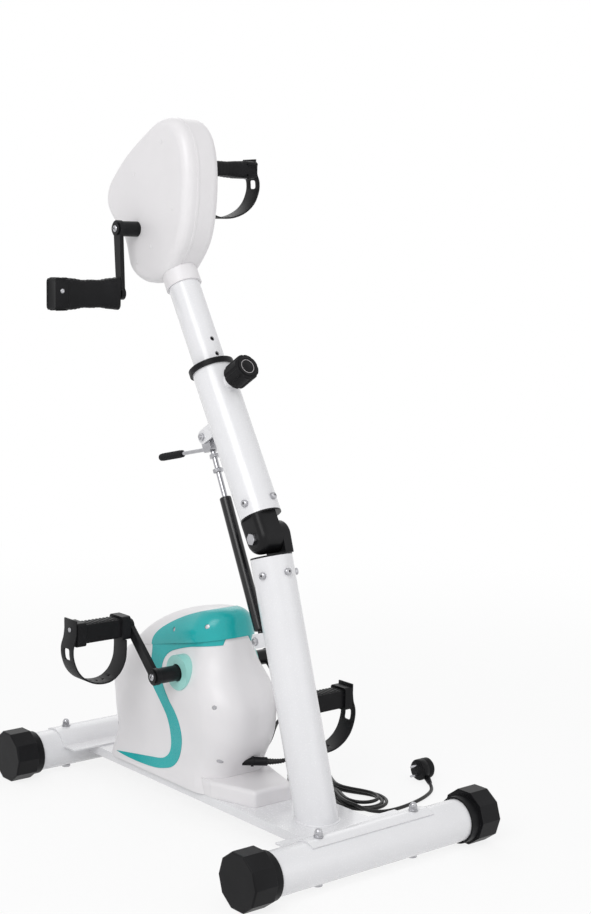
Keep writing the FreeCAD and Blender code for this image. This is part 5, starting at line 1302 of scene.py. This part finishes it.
@dataclass
class Fasteners:
    """Domed bolt heads with sockets on the mast, nuts on the spring's pins and bolts on the cranks."""

    tube_radius: float = 38.0
    head_radius: float = 6.5
    head_start: float = 4.3
    head_rings: tuple[Pair, ...] = ((-0.6, 1.0), (0.6, 0.99), (1.6, 0.86), (2.4, 0.62), (2.6, 0.46))
    socket_share: float = 0.36
    socket_run: Pair = (0.8, 4.0)
    # A near-black disc at the bottom of each socket is painted shade: its share of the head's radius and its
    # run along the axis.
    shade_share: float = 0.34
    shade_run: Pair = (0.7, 0.95)
    upper_station: float = 64.04
    lower_station: float = -67.92
    upper_angles: tuple[float, ...] = (200.0, 285.0)
    lower_angles: tuple[float, ...] = (200.0, 270.0, 340.0)
    pin_reach: float = 16.2
    nut_radius: float = 7.7
    nut_height: float = 4.8
    thread_radius: float = 3.9
    crank_faces: tuple[tuple[str, Point, float], ...] = (
        ("arm", (0.0, 247.0, 1083.0), 89.5), ("leg", (-10.0, 32.0, 271.0), 139.2))

    def button(self, name: str, matrix: Matrix, body: str) -> None:
        """A low domed head with a hexagonal socket and painted shade at the socket's bottom, its base in the
        XY plane of a matrix.

        Args:
            name: The piece's name.
            matrix: Stands it on its seat.
            body: The body it rides on.
        """
        radius = self.head_radius
        head = Workpiece.turned(name, [(high, radius * share) for high, share in self.head_rings])
        head.cut(Workpiece.turned("socket", [(high, radius * self.socket_share)
                                             for high in self.socket_run], sides=6))
        head.place(matrix).finish(body, "steel", Look.STEEL)
        # Painted shade: a thin near-black hexagonal disc at the bottom of the socket.
        shade_disc = Workpiece.turned(name + "_socket", [(high, radius * self.shade_share)
                                                   for high in self.shade_run], sides=6)
        shade_disc.place(matrix).finish(body, "steel", Look.SOCKET_SHADE)

    def mast_heads(self, name: str, tube: Matrix, station: float, angles: Sequence[float],
                   body: str) -> None:
        """The button heads round one tube.

        Args:
            name: Start of the pieces' names.
            tube: The tube's frame.
            station: Where they sit along the tube, in millimetres.
            angles: Their angles round the tube, in degrees.
            body: The body they ride on.
        """
        for number, degrees in enumerate(angles):
            angle = math.radians(degrees)
            out = Vector((math.cos(angle), math.sin(angle), 0))
            at = (out * (self.tube_radius + self.head_start) + Z_AXIS * station) * MM
            self.button(f"{name}_{number}", tube @ along(out, at), body)

    def pin_nuts(self, name: str, pin: Point, tube: Matrix, body: str) -> None:
        """Hexagonal nuts over both ends of a spring pin.

        Args:
            name: The piece's name.
            pin: The pin's middle in the tube's frame.
            tube: The tube's frame.
            body: The body they ride on.
        """
        top, nuts = self.nut_height, []
        for side in Side:
            nut = Workpiece.turned(name, [(0.0, self.nut_radius), (top - 0.7, self.nut_radius),
                                          (top, self.nut_radius - 1.2)], sides=6)
            nut.join(Workpiece.turned("thread", [(top - 0.5, self.thread_radius),
                                                 (top + 1.2, self.thread_radius),
                                                 (top + 1.8, self.thread_radius - 0.7)], sides=32))
            out = X_AXIS * side.value
            nuts.append(nut.place(tube @ along(out, metres(pin) + out * self.pin_reach * MM)))
        nuts[0].join(*nuts[1:])
        nuts[0].finish(body, "steel", Look.STEEL)

    def build(self) -> None:
        """Make every fastener."""
        self.mast_heads("upper_bolt_head", MAST.upper, self.upper_station, self.upper_angles, "upper_mast")
        self.mast_heads("lower_bolt_head", MAST.lower, self.lower_station, self.lower_angles, "base")
        self.pin_nuts("lower_pin_nuts", MAST.lower_pin, MAST.lower, "base")
        self.pin_nuts("upper_pin_nuts", MAST.upper_pin, MAST.upper, "upper_mast")
        for prefix, axis, face in self.crank_faces:
            for side in Side:
                out = X_AXIS * side.value
                self.button(f"{prefix}_crank_bolt_{side.label}", along(out, metres(axis) + out * face * MM),
                            f"{prefix}_crankset")


@dataclass
class LeverAndRod:
    """The lever's bright bar and ridged handle, and the lock nut on the gas rod."""

    lever_start: Point = (0.0, 61.131, 678.42)
    lever_drop: float = 12.0
    bar_radius: float = 3.7
    bar_start: float = 7.0
    bar_end: float = 88.0
    ridge_start: float = 96.0
    ridge_step: float = 5.0
    ridge_count: int = 12
    ridge_rings: tuple[Pair, ...] = ((0.0, 6.9), (0.8, 7.5), (3.2, 7.5), (4.0, 6.9))
    nut_station: float = 322.0
    nut_radius: float = 9.6
    nut_height: float = 8.0
    nut_chamfer: Pair = (0.8, 1.2)

    def build(self) -> None:
        """Make the bar, the ridges and the nut."""
        down = math.radians(self.lever_drop)
        place = along(Vector((0, math.cos(down), -math.sin(down))), metres(self.lever_start))
        bar = Workpiece.turned("lever_bar", [(self.bar_start, self.bar_radius),
                                             (self.bar_end, self.bar_radius)], sides=32)
        bar.place(place).finish("release_lever", "steel", Look.STEEL)
        rings = [(self.ridge_start + self.ridge_step * number + high, radius)
                 for number in range(self.ridge_count) for high, radius in self.ridge_rings]
        ridges = Workpiece.turned("lever_ridges", rings, sides=40)
        ridges.place(place).finish("release_lever", "grip_rubber", Look.GRIP_RUBBER)
        low = MAST.lower @ metres(MAST.lower_pin)
        way = ((MAST.upper @ metres(MAST.upper_pin)) - low).normalized()
        rise, narrow = self.nut_chamfer
        nut = Workpiece.turned("rod_lock_nut", [
            (0.0, self.nut_radius - narrow), (rise, self.nut_radius),
            (self.nut_height - rise, self.nut_radius), (self.nut_height, self.nut_radius - narrow)], sides=6)
        nut.place(along(way, low + way * self.nut_station * MM)).finish("gas_rod", "steel", Look.STEEL)


@dataclass
class MastDetails:
    """The weld at the mast's foot and the knob's cap."""

    tube_radius: float = 38.0
    foot: Point = (0.0, -265.0, 56.0)
    bead: float = 2.4
    ripple_turn: float = 2.5
    ripple_every: int = 3
    ripple: Point = (1.006, 1.006, 1.15)
    knob_station: float = 293.5
    knob_face: float = 98.3
    cap_rings: tuple[Pair, ...] = ((-1.0, 19.0), (1.0, 19.0), (1.6, 18.2), (1.6, 16.4), (1.0, 15.6),
                                   (1.0, 6.0), (1.3, 5.0))
    line_rings: tuple[Pair, ...] = ((0.8, 13.6), (1.25, 13.4), (1.25, 12.6), (0.8, 12.4))

    def weld(self, name: str, matrix: Matrix, body: str) -> None:
        """A rippled weld bead round a tube.

        Args:
            name: The piece's name.
            matrix: Places the bead's plane.
            body: The body it rides on.
        """
        Workpiece.clear()
        bpy.ops.mesh.primitive_torus_add(major_radius=self.tube_radius * MM, minor_radius=self.bead * MM,
                                         major_segments=144, minor_segments=10)
        ring = Workpiece(name)
        with ring.editing():
            ring.pick("VERT", lambda co: round(math.degrees(math.atan2(co.y, co.x)) / self.ripple_turn)
                      % self.ripple_every == 0)
            bpy.ops.transform.resize(value=self.ripple, center_override=(0, 0, 0))
        ring.place(matrix)
        ring.finish(body, "white_paint", Look.WHITE_PAINT, smooth=60)

    def build(self) -> None:
        """Make the weld, the cap and its ring."""
        stretch = Matrix.Diagonal((1, 1 / math.cos(math.radians(MAST.lower_tilt)), 1, 1))
        self.weld("mast_foot_weld", Matrix.Translation(metres(self.foot)) @ stretch, "base")
        place = MAST.upper @ along(-Y_AXIS, metres((0, -self.knob_face, self.knob_station)))
        for name, look, rings in (("knob_cap", Look.BLACK_PLASTIC, self.cap_rings),
                                  ("knob_face_ring", Look.KNOB_RING_GREY, self.line_rings)):
            piece = Workpiece.turned(name, rings, sides=64).place(place)
            piece.finish("lock_knob", "black_plastic", look)


@dataclass
class PartingLines:
    """A raised parting bead where the head's moulded shells meet."""

    head_seam: float = -10.0
    head_middle: Point = (0.0, 220.0, 1140.0)
    head_top: float = 1288.2
    bead_width: float = 5.0
    bead_proud: float = 0.7
    wall_slope: float = 0.7

    def bead(self, name: str, node: str, body: str, start: float, end: float) -> None:
        """A band that hugs the outer wall of a shell between two X stations.

        Args:
            name: The piece's name.
            node: The shell whose wall it follows.
            body: The body it rides on.
            start: Its lower X in millimetres.
            end: Its upper X.
        """
        middle = metres(self.head_middle)
        band = Workpiece.copy_of(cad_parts[node], name)
        with band.editing():
            band.bisect(start, -1, True)
            band.bisect(end, 1, True)
            band.drop_faces(lambda centre, normal: abs(normal.x) > self.wall_slope)
            band.drop_faces(lambda centre, normal: (centre - middle).yz.dot(normal.yz) < 0)
            band.drop_faces(lambda centre, normal: centre.z > (self.head_top - self.bead_proud) * MM)
        band.modify("SOLIDIFY", thickness=2 * self.bead_proud * MM, offset=0.0)
        band.finish(body, "white_shell", Look.WHITE_SHELL, smooth=50)

    def build(self) -> None:
        """Make the head's bead."""
        self.bead("arm_parting_bead", "arm_shell_left", "inner_mast", self.head_seam - self.bead_width,
                  self.head_seam)


# Stage and camera


@dataclass
class Studio:
    """Pale floor, soft lamps and the camera of the photograph."""

    azimuth: float = -39.62
    elevation: float = 7.34
    roll: float = 0.92
    camera_at: Point = (-1816.4, -2383.2, 1057.3)
    lens: float = 64.75
    sensor: float = 36.0
    clip: Pair = (0.05, 60.0)
    ambient: float = 0.60
    floor_size: float = 40.0
    floor_z: float = -0.4
    floor_white: float = 0.92
    floor_roughness: float = 0.9
    floor_glow: float = 0.84
    floor_reach: Pair = (0.9, 2.8)
    lamp_target: Point = (0.0, 0.0, 620.0)
    lamps: tuple[tuple[str, Point, float, float], ...] = (
        ("key_lamp", (-2600.0, -1500.0, 2600.0), 2.0, 52.0),
        ("fill_lamp", (900.0, -3200.0, 1500.0), 2.4, 10.0),
        ("back_lamp", (1800.0, 2600.0, 2400.0), 2.2, 14.0))

    def camera(self) -> None:
        """Stand the camera where the photograph was taken."""
        a, e, r = (math.radians(value) for value in (self.azimuth, self.elevation, self.roll))
        back = Vector((math.sin(a) * math.cos(e), -math.cos(a) * math.cos(e), math.sin(e)))
        right = (-back).cross(Z_AXIS).normalized()
        up = right.cross(-back)
        rolled_right = right * math.cos(r) + up * math.sin(r)
        rolled_up = up * math.cos(r) - right * math.sin(r)
        data = bpy.data.cameras.new("camera")
        data.lens = self.lens
        data.sensor_width = self.sensor
        data.clip_start, data.clip_end = self.clip
        camera = put("camera", data)
        turn = Matrix((rolled_right, rolled_up, back)).transposed().to_4x4()
        camera.matrix_world = Matrix.Translation(metres(self.camera_at)) @ turn
        bpy.context.scene.camera = camera

    def lamp(self, name: str, at: Point, size: float, power: float) -> None:
        """Add one soft square lamp that points at the machine.

        Args:
            name: The lamp's name.
            at: Its place in millimetres.
            size: Its side in metres.
            power: Its power in watts.
        """
        data = bpy.data.lights.new(name, "AREA")
        data.size = size
        data.energy = power
        turn = (metres(self.lamp_target) - metres(at)).to_track_quat("-Z", "Y")
        put(name, data).matrix_world = Matrix.Translation(metres(at)) @ turn.to_matrix().to_4x4()

    def world(self) -> None:
        """A soft world light that shows as white to the camera and in reflections."""
        world = bpy.data.worlds.new("studio")
        bpy.context.scene.world = world
        world.use_nodes = True
        graph = Graph(world.node_tree)
        white = (1.0, 1.0, 1.0, 1.0)
        soft = graph.fill(world.node_tree.nodes["Background"], Color=white, Strength=self.ambient)
        shown = graph.add("Background", Color=white, Strength=1.0)
        mixed = graph.blend(graph.seen_rays(), soft.outputs["Background"], shown.outputs["Background"])
        graph.join(mixed, world.node_tree.nodes["World Output"], "Surface")

    def floor(self) -> None:
        """A wide pale floor that keeps the machine's soft shadow."""
        Workpiece.clear()
        bpy.ops.mesh.primitive_plane_add(size=self.floor_size, location=(0, 0, self.floor_z * MM))
        floor = Workpiece("floor").obj
        material = bpy.data.materials.new("pale_floor")
        material.use_nodes = True
        nodes = material.node_tree.nodes
        graph = Graph(material.node_tree)
        shader = graph.fill(nodes["Principled BSDF"], Base_Color=(*(self.floor_white,) * 3, 1.0),
                            Roughness=self.floor_roughness)
        reach = graph.add("VectorMath", "LENGTH")
        graph.join(graph.add("TexCoord").outputs["Object"], reach, 0)
        near, far = self.floor_reach
        whiter = graph.add("MapRange", From_Min=near, From_Max=far, To_Min=self.floor_glow, To_Max=1.0)
        whiter.interpolation_type = "SMOOTHSTEP"
        graph.join(reach.outputs["Value"], whiter, "Value")
        share = graph.maths("MULTIPLY", graph.seen_rays(), whiter.outputs["Result"])
        mixed = graph.blend(share, shader.outputs["BSDF"], graph.add("Emission").outputs["Emission"])
        graph.join(mixed, nodes["Material Output"], "Surface")
        floor.data.materials.append(material)

    def build(self) -> None:
        """Set the whole studio."""
        bpy.context.scene.view_settings.view_transform = "Standard"
        self.camera()
        self.world()
        self.floor()
        for name, at, size, power in self.lamps:
            self.lamp(name, at, size, power)


def dress_nodes() -> None:
    """Give every CAD node that stays in sight its finish."""
    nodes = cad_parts
    for look, names in NODE_LOOKS.items():
        for name in names:
            PAINTS.dress(nodes[name], look)


def main() -> None:
    """Build the studio, the cord and every detail in order."""
    logging.basicConfig(level=logging.INFO, format="%(message)s")
    Studio().build()
    MainsCord().build()
    dress_nodes()
    for side in Side:
        grip = HandGrip(side)
        grip.build()
        pedal = FootPedal(side)
        pedal.build()
        Strap(f"leg_strap_{side.label}", f"leg_pedal_{side.label}", pedal.length,
              pedal.block_height / 2).build(pedal.placing())
        if side is Side.RIGHT:
            Strap("arm_strap_right", "arm_grip_right", grip.length, grip.flat / 2).build(grip.placing(False))
    Fasteners().build()
    LeverAndRod().build()
    MastDetails().build()
    PartingLines().build()


if __name__ == "__main__":
    main()
